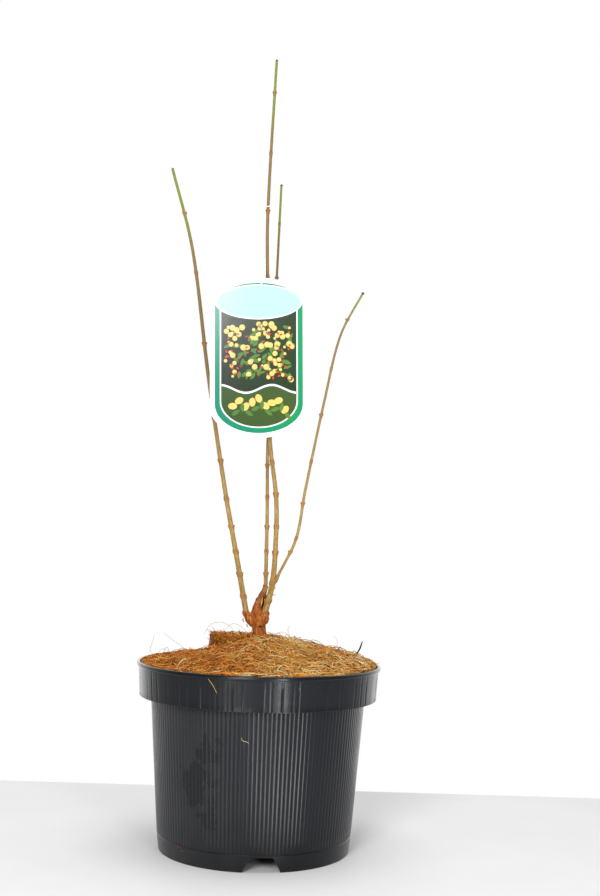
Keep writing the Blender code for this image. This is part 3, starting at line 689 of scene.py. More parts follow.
# Stray hairs: single strands that stand clear of the mat, hang over the rim or cling to the pot.
HAIR_WIDTH = 0.34
HAIRS = {
    "golden": (
        ((-60, 26, 146), (-66, 30, 149), (-72, 30, 153), (-77.3, 30, 157.2)),
        ((-80, 2, 141), (-83.7, 0, 145.9), (-82, 0, 152), (-80.4, 0, 159)),
        ((-46, 42, 155), (-41, 40, 163), (-33.3, 40, 165.6), (-26, 40, 163), (-21.1, 40, 158)),
        ((22, 2, 154), (22.4, 1, 160), (21.2, 0, 164.5), (22.6, -1, 168)),
        ((52, 12, 146), (54.1, 10, 150.6), (59, 9, 152.5), (59.2, 10, 157), (56, 10, 160)),
        ((84, 4, 140.5), (88.6, 1, 140.6), (91.6, 0, 141.2), (92.2, -1, 142.4)),
        ((30, -12, 152), (34, -16, 156), (39, -18, 155), (41, -21, 150)),
    ),
    "straw": (
        ((-30, 46, 158), (-24, 44, 164), (-17, 41, 163), (-12, 40, 158)),
        ((10, 14, 156), (14, 12, 161), (20, 9, 161), (24, 6, 157)),
        ((60, -30, 142.5), (66, -33, 145), (72, -31, 144), (77, -33, 140.5)),
        ((-70, -30, 142), (-74, -26, 147), (-72, -18, 149), (-66, -14, 146)),
        ((-32.4, -86.5, 139.9), (-32.9, -85.9, 136.3), (-29.6, -86.5, 132.1), (-26.2, -87.1, 126.1)),
    ),
    "cream": (
        ((34, 4, 150.4), (40, 1, 152.8), (46, -2, 151.6), (50, -4, 148.6)),
        ((33, 2, 151), (39, -1, 153), (44, -5, 150.6), (47, -8, 147.8)),
        ((-8.9, -79.75, 95.5), (-7.6, -79.9, 93.2), (-4.6, -80.0, 92.4), (-3.2, -79.9, 91.2)),
    ),
    "rust": (
        ((-64, -63, 138.9), (-64.8, -63.9, 137.4), (-63.2, -65.3, 135), (-60.4, -67.8, 133.2)),
        ((-69.5, -57.6, 132.4), (-67.8, -60.2, 131.2), (-66.5, -61.4, 131.8)),
        ((-54.6, -48.9, 12.2), (-53.2, -50.5, 11.6), (-51.4, -52.4, 11.9)),
        ((-51.0, -52.6, 9.8), (-49.4, -54.0, 9.2), (-48.2, -55.1, 9.8)),
    ),
}
for word, hairs in HAIRS.items():
    rows = np.stack([through(points, 14) for points in hairs])
    strand_mesh("stray_hairs_" + word, rows, np.full(len(hairs), HAIR_WIDTH), fibre_looks[word])
twig = through(((72, 9, 143), (75, 10, 147.4), (77.6, 10, 152), (79, 10, 156.7)), 12)[None]
strand_mesh("dry_twig", twig, np.array((1.5,)), fibre_looks["umber"])
leaf_rib = through(((52.2, -10, 148.4), (62, -16, 146.4), (72, -23, 143.4), (81.5, -30, 140.0)), 16)[None]
strand_mesh("dark_leaf_strip", leaf_rib, np.array((2.6,)), fibre_looks["umber"])
husk = through(((71, -19.5, 145.4), (75, -20, 144.0), (79, -21.5, 142.2), (81.6, -22.5, 140.6)), 10)[None]
strand_mesh("pale_husk_strip", husk, np.array((2.0,)), fibre_looks["cream"])


# Trunk: the old rootstock with rough orange-brown bark, cut flat in the soil. It forks into two flaky
# collars and the leaning stub of the old leader, which is hollowed by a wound on its right.
SOIL_TOP = float(sunken(LEVEL_WITHIN)) - MAT_THICKNESS - 0.3
TRUNK_LIMBS = (
    ((-0.3, 0.0, SOIL_TOP - 2.0, 7.7), (-0.3, 0.0, SOIL_TOP + 3.0, 6.2), (-0.4, 0.0, 159.0, 5.4),
     (-1.0, 0.0, 165.0, 5.2), (-1.8, 0.0, 170.0, 5.6), (-2.2, 0.4, 174.0, 5.2)),
    ((-2.0, 0.0, 169.0, 4.6), (-6.6, 0.2, 171.2, 4.6), (-10.2, 0.5, 174.5, 3.1), (-11.5, 0.6, 176.9, 2.85),
     (-12.0, 0.7, 178.8, 2.0)),
    ((-1.0, -0.8, 169.0, 4.4), (2.0, -1.2, 172.0, 4.6), (2.7, -1.3, 175.0, 3.8), (3.2, -1.3, 176.9, 3.4),
     (3.6, -1.4, 179.2, 2.4)),
    ((-3.2, 1.0, 172.0, 5.0), (-2.4, 2.0, 180.0, 4.2), (0.6, 2.8, 189.0, 3.1), (2.7, 3.3, 195.0, 2.1),
     (3.0, 3.4, 196.9, 2.05), (3.0, 3.5, 198.4, 1.4)),
)
COLLAR_KNOBS = (((-8.0, 0.0, 170.4), 3.1), ((3.0, -1.6, 171.6), 3.2))
BARK_STEP = 0.42
LEDGE_HEIGHT = 187.2
WOUND = (1.6, 184.0)
CREASE = (0.4, 166.5)
FORK = (-4.6, 174.0)
TRUNK_BUDS = (((4.4, -3.2, 196.0), 1.0), ((6.0, -1.5, 181.6), 1.1))


def tube(name, stations, sides=16):
    """A round mesh tube with closed ends through (x, y, z, radius) stations in mm."""
    curve = bpy.data.curves.new(name, "CURVE")
    curve.dimensions = "3D"
    curve.bevel_depth = 1.0 * MM
    curve.bevel_resolution = sides // 4
    curve.use_fill_caps = True
    line = curve.splines.new("POLY")
    line.points.add(len(stations) - 1)
    for point, (x, y, z, radius) in zip(line.points, stations):
        point.co = (x * MM, y * MM, z * MM, 1.0)
        point.radius = radius
    made = add_object(name, curve)
    pick(made)
    bpy.ops.object.convert(target="MESH")
    return bpy.context.object


def join(things, name):
    """Join objects into the first of them."""
    pick(things[0])
    for thing in things:
        thing.select_set(True)
    bpy.ops.object.join()
    things[0].name = name
    return things[0]


pieces = []
for stations in TRUNK_LIMBS:
    pieces.append(tube("trunk_limb", through(stations, 26).tolist(), 24))
for spot, radius in COLLAR_KNOBS:
    bpy.ops.mesh.primitive_uv_sphere_add(segments=24, ring_count=14, radius=radius * MM,
                                         location=[c * MM for c in spot])
    fix_place()
    pieces.append(bpy.context.object)
trunk = join(pieces, "old_trunk")
fuse = trunk.modifiers.new("fuse", "REMESH")
fuse.mode = "VOXEL"
fuse.voxel_size = BARK_STEP * MM
bpy.ops.object.modifier_apply(modifier=fuse.name)
soften = trunk.modifiers.new("soften", "SMOOTH")
soften.factor = 0.6
soften.iterations = 8
bpy.ops.object.modifier_apply(modifier=soften.name)


def hump(*distances):
    """How much of a smooth hump is left this far from its middle, in spreads along each axis."""
    return math.exp(-sum(distance ** 2 for distance in distances))


def store(thing, name, kind, values):
    """Keep a value for each point of a piece, for its material to read."""
    kept = thing.data.attributes.new(name, kind, "POINT")
    kept.data.foreach_set("vector" if kind == "FLOAT_VECTOR" else "value", values)


painted_dip_shade = []
for vertex in trunk.data.vertices:
    x, y, z = vertex.co / MM
    fissures = noise.fractal(Vector((x * 0.75, y * 0.75, z * 0.16)), 0.8, 2.2, 4)
    flakes = noise.noise(Vector((x * 0.32, y * 0.32, z * 0.42 + 7.0)))
    step = noise.cell(Vector((x * 0.28, y * 0.28, z * 0.2))) * 0.22
    relief = 0.4 * fissures + 0.4 * max(0.0, flakes) + step * 0.6 - 0.05
    ledge = 0.5 * hump((z - LEDGE_HEIGHT) / 0.8)
    wound = hump((x - WOUND[0]) / 1.7, (z - WOUND[1]) / 5.5) if y < 1.0 else 0.0
    crease = hump((x - CREASE[0]) / 2.6, (z - CREASE[1]) / 0.7) if y < 0.0 else 0.0
    fork = hump((x - FORK[0]) / 2.2, (z - FORK[1]) / 1.6)
    push = relief + ledge - 1.9 * wound - 0.9 * crease - 0.5 * fork
    quiet = min(1.0, max(0.0, (z - SOIL_TOP + 1.0) / 3.0))
    if vertex.normal.z > 0.85:
        quiet *= 0.3
    vertex.co += vertex.normal * push * quiet * MM
    # Darkness stored for each point: painted shade in the bark's fissures, the wound's hollow, the crease and
    # the fork.
    painted_dip_shade.append(max(0.0, min(1.0, 0.3 - 0.6 * relief + 0.8 * wound + 0.8 * crease + 0.5 * fork)))
store(trunk, "dip_shade", "FLOAT", painted_dip_shade)
smooth(trunk, 70.0)

grain = bpy.data.node_groups.new("bark_grain", "ShaderNodeTree")
grain.interface.new_socket(name="Along", in_out="INPUT", socket_type="NodeSocketVector")
grain.interface.new_socket(name="Streaks", in_out="OUTPUT", socket_type="NodeSocketFloat")
grain.interface.new_socket(name="Flecks", in_out="OUTPUT", socket_type="NodeSocketFloat")
came_in = grain.nodes.new("NodeGroupInput")
gone_out = grain.nodes.new("NodeGroupOutput")
streak = noisy(grain, came_in, 1.0, 6.0, Roughness=0.6)
pores = add_node(grain, "TexVoronoi", Vector=came_in, Scale=0.9)
fleck = ranged(grain, pores.outputs["Distance"], 0.24, 0.12)
link(grain, streak, gone_out.inputs[0])
link(grain, fleck, gone_out.inputs[1])

old_bark, tree, shader = new_material("rough_orange_bark", (0.30, 0.115, 0.035), 0.78, 0.15)
place = object_place(tree)
stretched = add_node(tree, "Mapping", Vector=place, Scale=(900.0, 900.0, 130.0))
lines = add_node(tree, "Group", {"node_tree": grain}, Along=stretched)
ramp = ramped(tree, lines.outputs["Streaks"], (0.3, (0.11, 0.030, 0.007)), (0.72, (0.50, 0.22, 0.07)),
              (0.52, (0.33, 0.083, 0.011)))
parts = add_node(tree, "SeparateXYZ", Vector=place)
aged = ranged(tree, parts.outputs["Z"], 0.176, 0.190)
half_aged = worked(tree, "MULTIPLY", aged, 0.55)
stub = mixed(tree, half_aged, ramp, (0.13, 0.06, 0.03))
blotch = noisy(tree, place, 170.0, 3.0)
golden = ranged(tree, blotch, 0.5, 0.66, at_high=0.6)
warmer = mixed(tree, golden, stub, (0.36, 0.19, 0.05))
# Painted shade: the bark turns nearly black where the stored dip value is high, in the fissures, the wound's
# hollow, the crease and the fork.
dip_shade_mask = add_node(tree, "Attribute", {"attribute_name": "dip_shade"})
deep_shade = ranged(tree, dip_shade_mask.outputs["Fac"], 0.5, 0.95)
shaded = mixed(tree, deep_shade, warmer, (0.028, 0.012, 0.006))
link(tree, shaded, shader.inputs["Base Color"])
bump(tree, shader, 0.8, 0.3, lines.outputs["Streaks"])
trunk.data.materials.append(old_bark)
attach(trunk, "root")
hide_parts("trunk")

splinter_paths = (
    ((3.6, 1.4, 193.0), (4.2, 0.9, 195.2), (5.4, 0.4, 196.6)),
    ((8.2, -3.4, 193.5), (10.2, -4.2, 196.0), (9.9, -4.4, 198.6)),
    ((7.8, -3.0, 190.0), (9.6, -3.8, 191.2), (10.8, -4.0, 190.6)),
    ((-12.6, -2.2, 172.6), (-13.4, -2.4, 171.2), (-12.6, -2.6, 169.4)),
    ((-9.8, -3.6, 168.4), (-10.2, -3.9, 167.0), (-9.0, -4.2, 165.8)),
    ((0.2, -4.9, 182.0), (0.7, -4.6, 185.4), (0.9, -3.8, 188.8)),
    ((-6.0, -4.4, 164.2), (-6.4, -5.0, 162.8), (-5.6, -5.3, 161.4)),
)
splinter_rows = np.stack([through(points, 8) for points in splinter_paths])
splinter_widths = np.array((1.0, 0.8, 0.7, 1.1, 1.0, 1.2, 0.9))
strand_mesh("bark_splinters", splinter_rows, splinter_widths, fibre_looks["tan"])


# Stems and shoots: four boughs of this and last year's wood, each one tapering limb with swollen nodes,
# opposite buds turned a quarter from node to node, and a young green end. They grow from the collars.
STEM_ROUTES = {
    "left": ((-11.3, 0.6, 177), (-20.2, 2.3, 220), (-30.8, 4.9, 270), (-47.3, 10.4, 360), (-63.6, 17.2, 460),
             (-82.4, 22.0, 526.2)),
    "tall": ((3.1, -1.3, 177), (8.3, -2.0, 200), (9.9, -2.7, 235), (9.1, -3.3, 265), (2.9, -4.1, 310),
             (-2.8, -6.2, 435), (-4.1, -6.9, 486), (-0.9, -8.7, 605.6)),
    "middle": ((3.0, 3.4, 197), (2.4, 7.3, 250), (1.0, 11.7, 310), (3.7, 21.3, 440), (5.0, 27.0, 516.8)),
    "right": ((12.6, -3.3, 206), (25.3, -5.2, 234), (31.0, -8.0, 270), (43.8, -14.0, 340), (54.6, -18.5, 390),
              (71.0, -22.0, 423)),
}
STEM_NODES = {
    "left": (189.1, 205.6, 222.9, 241.7, 263.2, 292.4, 325.8, 384.0, 441.1, 488.6),
    "tall": (186.0, 200.0, 222.8, 242.9, 267.5, 292.3, 318.5, 351.0, 390.0, 435.0, 485.8, 531.6, 578.6),
    "middle": (206.1, 223.7, 242.2, 265.7, 289.9, 321.0, 358.0, 398.0, 439.2, 483.7),
    "right": (223.6, 234.4, 260.7, 293.2, 328.5, 364.2, 401.1),
}
STEM_TAPERS = {"left": (2.3, 1.12, 0.68), "tall": (2.05, 0.95, 0.8), "middle": (1.58, 0.85, 0.7),
               "right": (1.2, 0.88, 1.0)}
BUD_TURN = {"left": math.pi / 2, "tall": 0.0, "middle": 0.0, "right": 0.0}
GREEN_FROM = {"left": 480.0, "tall": 560.0, "middle": 485.0, "right": 409.0}
NODE_SWELLING = 0.24
NODE_STATIONS = (-2.6, -1.6, -0.8, -0.1, 0.2, 0.6, 1.4, 2.4)
NODE_REACH = 3.2
STATION_STEP = 1.9
SWELL_BELOW = 2.6
SWELL_ABOVE = 2.4
SWELL_SLOPE = 1.8
TALL_FLARE = 0.65
FLARE_SHARE = 0.05
KNUCKLE_FOOT = 198.0
KNUCKLE = ((10.8, -2.9, 201.5, 1.5), (12.6, -3.3, 206.2, 1.38))
TIP_BUDS = ((0.3, 0.4, 1.25), (2.5, 0.44, 1.15), (4.5, 0.25, 1.2))
SHOOT_SHORT = 1.1
STEM_SIDES = 20
SPLIT_ABOVE_NODE = 4.0
TIP_BUD_DEPTH = 1.3
BUD_LEAN = math.radians(24.0)
BUD_SIZE = 1.12
STEM_ROOTED = 2.5


def route_place(route, z):
    """The point of a stem's route at a height, by a smooth curve through its points."""
    i = 0
    while i < len(route) - 2 and z > route[i + 1][2]:
        i += 1

    def slope(k, axis):
        before, after = route[max(k - 1, 0)], route[min(k + 1, len(route) - 1)]
        return (after[axis] - before[axis]) / (after[2] - before[2])

    span = route[i + 1][2] - route[i][2]
    t = (z - route[i][2]) / span
    x, y = (
        route[i][axis] * (2 * t ** 3 - 3 * t ** 2 + 1) + route[i + 1][axis] * (3 * t ** 2 - 2 * t ** 3)
        + slope(i, axis) * span * (t ** 3 - 2 * t ** 2 + t) + slope(i + 1, axis) * span * (t ** 3 - t ** 2)
        for axis in (0, 1)
    )
    return Vector((x, y, z))


def stem_radius(word, z):
    """A stem's plain radius at a height, without the swelling at its nodes."""
    foot, tip, power = STEM_TAPERS[word]
    low, high = STEM_ROUTES[word][0][2], STEM_ROUTES[word][-1][2]
    t = (z - low) / (high - low)
    flare = TALL_FLARE * math.exp(-t / FLARE_SHARE) if word == "tall" else 0.0
    return foot + (tip - foot) * max(t, 0.0) ** power + flare


def swelling(word, z):
    """How much thicker a stem is at a height, by the distance to its nearest node."""
    off = min((z - node for node in STEM_NODES[word]), key=abs)
    rise = 1.0
    if off < SWELL_SLOPE - SWELL_BELOW:
        rise = (off + SWELL_BELOW) / SWELL_SLOPE
    elif off > SWELL_ABOVE - SWELL_SLOPE:
        rise = (SWELL_ABOVE - off) / SWELL_SLOPE
    return NODE_SWELLING * float(smooth_step(rise))


def stem_mesh(name, word, low, high):
    """A stretch of a stem between two heights, drawn up from a circle station by station."""
    heights = set(np.linspace(low, high, max(6, int((high - low) / STATION_STEP))).round(2).tolist())
    for node in STEM_NODES[word]:
        heights |= {node + off for off in NODE_STATIONS if low < node + off < high}
    heights = sorted(heights)
    foot = route_place(STEM_ROUTES[word], low)
    bpy.ops.mesh.primitive_circle_add(
        vertices=STEM_SIDES, radius=1.0 * MM, location=foot * MM, fill_type="TRIFAN"
    )
    made = bpy.context.object
    made.name = name
    fix_place()
    set_mode("EDIT")
    middle = foot * MM
    select_edit(lambda place: math.hypot(place.x - middle.x, place.y - middle.y) > 0.5 * MM)
    radius = 1.0
    spot = foot
    for z in heights:
        following = route_place(STEM_ROUTES[word], z)
        thick = stem_radius(word, z) * (1.0 + swelling(word, z))
        if z > heights[0]:
            bpy.ops.mesh.extrude_region_move(TRANSFORM_OT_translate={"value": (following - spot) * MM})
        bpy.ops.transform.resize(value=(thick / radius, thick / radius, 1.0), center_override=following * MM)
        radius, spot = thick, following
    close_end()
    set_mode("OBJECT")
    along, near = [], []
    for vertex in made.data.vertices:
        z = vertex.co.z / MM
        axis = route_place(STEM_ROUTES[word], z)
        out = vertex.co / MM - axis
        out.z = 0.0
        turn = math.atan2(out.y, out.x)
        row = Vector((math.cos(turn) * 2.2, math.sin(turn) * 2.2, z * 0.16))
        ridge = 0.05 * math.cos(4.0 * turn + z * 0.01) + 0.07 * noise.fractal(row, 0.7, 2.0, 3)
        if heights[0] < z < heights[-1]:
            vertex.co += out.normalized() * ridge * stem_radius(word, z) * 0.6 * MM
        along.extend((row.x * 1.6, row.y * 1.6, row.z))
        gap = min(abs(z - node) for node in STEM_NODES[word])
        near.append(max(0.0, 1.0 - gap / NODE_REACH))
    store(made, "along", "FLOAT_VECTOR", along)
    store(made, "near_node", "FLOAT", near)
    smooth(made, 60.0)
    return made


def stem_look(name, word):
    """Streaked bark for one stem: ochre nodes, olive-tan below, browner above, green at its young end."""
    made, tree, shader = new_material(name, (0.34, 0.22, 0.08), 0.55, 0.3)
    along = add_node(tree, "Attribute", {"attribute_name": "along"})
    near = add_node(tree, "Attribute", {"attribute_name": "near_node"})
    lines = add_node(tree, "Group", {"node_tree": grain}, Along=along.outputs["Vector"])
    streaks = lines.outputs["Streaks"]
    height = add_node(tree, "SeparateXYZ", Vector=object_place(tree)).outputs["Z"]
    ramp = ramped(tree, streaks, (0.3, (0.12, 0.060, 0.012)), (0.72, (0.44, 0.33, 0.14)),
                  (0.5, (0.33, 0.195, 0.042)))
    woody = ranged(tree, height, 0.24, 0.38, at_high=0.8)
    browner = mixed(tree, woody, ramp, (0.20, 0.125, 0.045))
    start = GREEN_FROM[word] * MM
    young = ranged(tree, height, start - 0.02, start + 0.006)
    patchy = ranged(tree, streaks, 0.36, 0.5, 0.35)
    greenness = worked(tree, "MULTIPLY", young, patchy)
    green = mixed(tree, greenness, browner, (0.20, 0.24, 0.030))
    knots = ranged(tree, near.outputs["Fac"], 0.15, 0.8, at_high=0.6)
    ochre = mixed(tree, knots, green, (0.30, 0.115, 0.022))
    dots = worked(tree, "MULTIPLY", lines.outputs["Flecks"], 0.22)
    spotted = mixed(tree, dots, ochre, (0.52, 0.45, 0.32))
    link(tree, spotted, shader.inputs["Base Color"])
    uneven = ranged(tree, streaks, 0.0, 1.0, 0.42, 0.68)
    link(tree, uneven, shader.inputs["Roughness"])
    bump(tree, shader, 0.7, 0.12, streaks)
    return made


bpy.ops.mesh.primitive_uv_sphere_add(segments=10, ring_count=8, radius=1.0)
bud_form = bpy.context.object
bud_form.name = "bud_form"
for vertex in bud_form.data.vertices:
    pinch = 1.0 - 0.8 * max(0.0, vertex.co.z) ** 1.6
    vertex.co.x *= pinch * 0.675 * MM
    vertex.co.y *= pinch * 0.6 * MM
    vertex.co.z *= 1.15 * MM

bud_look, tree, shader = new_material("bud_scales", (0.26, 0.11, 0.03), 0.5)
mottled = noisy(tree, object_place(tree), 900.0, 3.0)
ramp = ramped(tree, mottled, (0.0, (0.09, 0.035, 0.012)), (1.0, (0.48, 0.24, 0.07)))
link(tree, ramp, shader.inputs["Base Color"])
tip_look, tree, shader = new_material("dark_tip_scales", (0.05, 0.028, 0.018), 0.5)


def outward(turn):
    return Vector((math.cos(turn), math.sin(turn), 0.0))


def bud_at(spot, turn, lean, size, look):
    """A copy of the bud at a point in mm, leaning outwards in a direction."""
    mesh = bud_form.data.copy()
    turned = Matrix.Rotation(turn, 4, "Z") @ Matrix.Rotation(lean, 4, "Y") @ Matrix.Scale(size, 4)
    mesh.transform(Matrix.Translation(Vector(spot) * MM) @ turned)
    mesh.materials.clear()
    mesh.materials.append(look)
    mesh.shade_smooth()
    return add_object("bud", mesh)


for word, route in STEM_ROUTES.items():
    split_height = STEM_NODES[word][-2] + SPLIT_ABOVE_NODE
    tip_height = route[-1][2]
    look = stem_look("bark_of_" + word + "_stem", word)
    stem = stem_mesh(word + "_stem", word, route[0][2] - STEM_ROOTED, split_height)
    if word == "right":
        start = route_place(STEM_ROUTES["tall"], KNUCKLE_FOOT)
        knuckle = tube("knuckle", [(*start, 1.3), *KNUCKLE], 16)
        store(knuckle, "near_node", "FLOAT", [0.7] * len(knuckle.data.vertices))
        store(knuckle, "along", "FLOAT_VECTOR", [c for v in knuckle.data.vertices for c in v.co / MM * 0.8])
        smooth(knuckle, 60.0)
        stem = join([stem, knuckle], "right_stem")
    stem.data.materials.append(look)
    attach(stem, "root")
    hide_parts("stem_" + word)
    shoot = stem_mesh(word + "_shoot", word, split_height, tip_height - SHOOT_SHORT)
    shoot.data.materials.append(look)
    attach(shoot, "root")
    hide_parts("shoot_" + word)
    lower_buds, upper_buds = [], []
    for number, node in enumerate(STEM_NODES[word]):
        middle = route_place(route, node)
        for side in (0.0, math.pi):
            turn = BUD_TURN[word] + number * math.pi / 2 + side
            out = outward(turn) * stem_radius(word, node) * 1.02
            bud = bud_at(middle + out + Vector((0.0, 0.0, 0.6)), turn, BUD_LEAN, BUD_SIZE, bud_look)
            (upper_buds if node > split_height else lower_buds).append(bud)
    tip = route_place(route, tip_height - TIP_BUD_DEPTH)
    for turn, lean, size in TIP_BUDS:
        out = outward(turn) * 0.45
        upper_buds.append(bud_at(tip + out - Vector((0, 0, 0.1)), turn, lean, size * 0.9, tip_look))
    for buds, name, slot in (
        (lower_buds, "_stem_buds", "young_bark"), (upper_buds, "_shoot_buds", "green_shoot"),
    ):
        made = join(buds, word + name)
        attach(made, "root")
fork_buds = join([bud_at(spot, 0.4, 0.5, size, bud_look) for spot, size in TRUNK_BUDS], "fork_buds")
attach(fork_buds, "root")
bpy.data.objects.remove(bud_form, do_unlink=True)


# Hang label: a die-cut card of glossy white plastic with rounded ends. Its generic print is a green
# frame, a pale header oval and a panel of golden berries and leaves. Each colour is a thin layer.
CARD_CENTRE = Vector((-7.4, -11.2, 371.6))
CARD_HALF_WIDTH = 37.4
CARD_HALF_HEIGHT = 61.55
CARD_THICKNESS = 0.6
CARD_TOP_ROUNDING = 19.3
CARD_FOOT_ROUNDING = 24.0
CARD_LEAN = math.radians(-1.9)
CARD_HOLE = (2.2, 55.55)
CARD_HOLE_RADIUS = 2.0
END_STEPS = 36
PRINT_STEP = 0.03
HEADER_HEIGHT = 43.0
PANEL_INSET = 8.6
WAVE_HEIGHT = -24.0
LEAVES = 60
BERRIES = 80
SEEDS = 44
LOW_BERRIES = 9
card_place = Matrix.Translation(CARD_CENTRE) @ Matrix.Rotation(CARD_LEAN, 4, "Y")


def card_outline(inset, high=math.inf):
    """The card's outline in mm, drawn in by an inset and cut off at an upper height."""
    half, top = CARD_HALF_WIDTH - inset, CARD_HALF_HEIGHT - inset
    round_top, round_foot = CARD_TOP_ROUNDING - inset * 0.5, CARD_FOOT_ROUNDING - inset * 0.5
    points = []
    for i in range(END_STEPS + 1):
        angle = math.pi * i / END_STEPS
        points.append((half * math.cos(angle), top - round_top * (1.0 - math.sin(angle))))
    for i in range(END_STEPS + 1):
        angle = math.pi + math.pi * i / END_STEPS
        points.append((half * math.cos(angle), -top + round_foot * (1.0 + math.sin(angle))))
    return [(x, min(z, high)) for x, z in points]


def oval(across, up, wide, tall, count=40, turn=0.0, point=0.0):
    """An oval's outline, or a pointed leaf's where point is above 0, turned about its middle."""
    out = []
    for i in range(count):
        angle = math.tau * i / count
        x = wide * math.cos(angle)
        z = tall * math.sin(angle) * (1.0 - point * abs(math.cos(angle)) ** 3)
        turned = (x * math.cos(turn) - z * math.sin(turn), x * math.sin(turn) + z * math.cos(turn))
        out.append((across + turned[0], up + turned[1]))
    return out


def edited(name, spots, faces):
    """An object made of these points and faces, wholly selected in edit mode."""
    mesh = bpy.data.meshes.new(name)
    mesh.from_pydata(spots, [], faces)
    made = add_object(name, mesh)
    pick(made)
    set_mode("EDIT")
    bpy.ops.mesh.select_all(action="SELECT")
    return made


def plate(outline, front, thick):
    """A thin closed plate in the card's plane, with its front this far before the card's middle."""
    clean = [p for i, p in enumerate(outline) if math.dist(p, outline[i - 1]) > 0.01]
    made = edited("plate", [(x, -front, z) for x, z in clean], [list(range(len(clean)))])
    bpy.ops.mesh.extrude_region_move(TRANSFORM_OT_translate={"value": (0.0, thick, 0.0)})
    faces_out()
    set_mode("OBJECT")
    return made


def finish_plates(plates, name, look):
    """Join flat plates into one piece and put it in the card's place."""
    made = join(plates, name)
    for vertex in made.data.vertices:
        vertex.co = card_place @ vertex.co * MM
    made.data.materials.append(look)
    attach(made, "root")
    return made


def printed(name, colour, second=None):
    """Glossy printing ink of one colour, or running from one to a second across the card."""
    made, tree, shader = new_material(name, colour, 0.17)
    place = object_place(tree)
    share = ranged(tree, add_node(tree, "SeparateXYZ", Vector=place).outputs["X"], -0.045, 0.03)
    link(tree, mixed(tree, share, colour, second or colour), shader.inputs["Base Color"])
    bump(tree, shader, 0.15, 0.2, noisy(tree, place, 90.0, 2.0))
    return made


half_thick = CARD_THICKNESS / 2
card = plate(card_outline(0.0), half_thick, CARD_THICKNESS)
bpy.ops.mesh.primitive_cylinder_add(
    vertices=28, radius=CARD_HOLE_RADIUS, depth=4.0, location=(CARD_HOLE[0], 0.0, CARD_HOLE[1]),
    rotation=(math.pi / 2, 0.0, 0.0)
)
cut_away(card, [bpy.context.object])
card = finish_plates([card], "label_card", printed("white_card", (0.82, 0.84, 0.83)))
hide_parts("care_label")


def ring_plate(outer, inner, front):
    """A flat ring between two outlines of the same number of points, as a closed thin band."""
    count = len(outer)
    back = front - 0.2 if front > 0 else front + 0.2
    spots = [(x, -y, z) for y in (front, back) for line in (outer, inner) for x, z in line]
    faces = []
    for i in range(count):
        j = (i + 1) % count
        for a, b in ((0, count), (3 * count, 2 * count), (2 * count, 0), (count, 3 * count)):
            faces.append((a + i, a + j, b + j, b + i))
    made = edited("ring", spots, faces)
    bpy.ops.mesh.remove_doubles(threshold=0.001)
    bpy.ops.mesh.normals_make_consistent(inside=False)
    set_mode("OBJECT")
    return made


front = half_thick + PRINT_STEP
frames = [ring_plate(card_outline(3.7), card_outline(7.6), side * front) for side in (1, -1)]
finish_plates(frames, "green_frame", printed("frame_green", (0.005, 0.20, 0.13), (0.008, 0.27, 0.10)))


def layer(outline, number, thick=0.2):
    """One flat shape of the print. A higher number lies further in front."""
    return plate(outline, front + number * PRINT_STEP, thick)


def wave_height(across):
    """The height in mm of the wavy line on the card."""
    return WAVE_HEIGHT + 3.0 * math.sin(across * 0.16)


finish_plates([layer(oval(0.0, HEADER_HEIGHT, 33.5, 13.5, 60), 1)], "header_rim",
              printed("header_white", (0.86, 0.88, 0.88)))
finish_plates([layer(oval(0.0, HEADER_HEIGHT, 32.3, 12.5, 60), 2)], "header_oval",
              printed("pale_teal", (0.30, 0.56, 0.54), (0.42, 0.68, 0.58)))
finish_plates([layer(card_outline(PANEL_INSET, high=42.0), 0)], "picture_panel",
              printed("leaf_shade", (0.010, 0.022, 0.012), (0.018, 0.040, 0.012)))
wave = [(x, min(z, wave_height(x))) for x, z in card_outline(PANEL_INSET, high=-22.0)]
finish_plates([layer(wave, 2)], "lower_panel", printed("moss_shade", (0.03, 0.07, 0.015), (0.05, 0.09, 0.02)))
crest = [(x, wave_height(x)) for x in (-28.4 + 56.8 * i / 40 for i in range(41))]
line = [(x, z + 0.8) for x, z in crest] + [(x, z - 0.8) for x, z in reversed(crest)]
finish_plates([layer(line, 3)], "wavy_line", printed("line_white", (0.80, 0.82, 0.78)))
draw_print = random.Random(23)
leaves, berries, reds, lights = [], [], [], []
for i in range(LEAVES):
    across, up = draw_print.uniform(-24.5, 24.5), draw_print.uniform(-16.5, 25.5)
    turn = draw_print.uniform(0.0, math.pi)
    leaf = oval(across, up, draw_print.uniform(2.4, 4.4), draw_print.uniform(0.9, 1.6), 14, turn, 0.7)
    leaves.append(layer(leaf, 4 + i % 5, 0.25))
for i in range(BERRIES):
    across, up = draw_print.uniform(-26.0, 26.0), draw_print.uniform(-17.0, 26.5)
    size = draw_print.uniform(0.9, 2.3)
    berries.append(layer(oval(across, up, size, size, 16), 10 + i % 6, 0.3))
    gleam = oval(across - size * 0.3, up + size * 0.3, size * 0.32, size * 0.3, 8)
    lights.append(layer(gleam, 11 + i % 6, 0.1))
for i in range(SEEDS):
    across, up = draw_print.uniform(-25.0, 25.0), draw_print.uniform(-16.0, 25.0)
    reds.append(layer(oval(across, up, 1.1, 0.7, 12, i * 0.7), 17 + i % 3, 0.3))
for i in range(LOW_BERRIES):
    across = -20.0 + 5.0 * i
    up = -35.0 + 3.2 * math.sin(i * 2.1) - 0.02 * across ** 2 * 0.4 + 2.0
    berries.append(layer(oval(across, up - 1.0, 3.4, 2.5, 20, i * 0.5), 4 + i % 3, 0.25))
    leaves.append(layer(oval(across + 2.4, up - 6.0, 3.8, 1.6, 14, 0.6 + i, 0.7), 8 + i % 3, 0.25))
finish_plates(leaves, "printed_leaves", printed("leaf_green", (0.06, 0.16, 0.03), (0.10, 0.22, 0.04)))
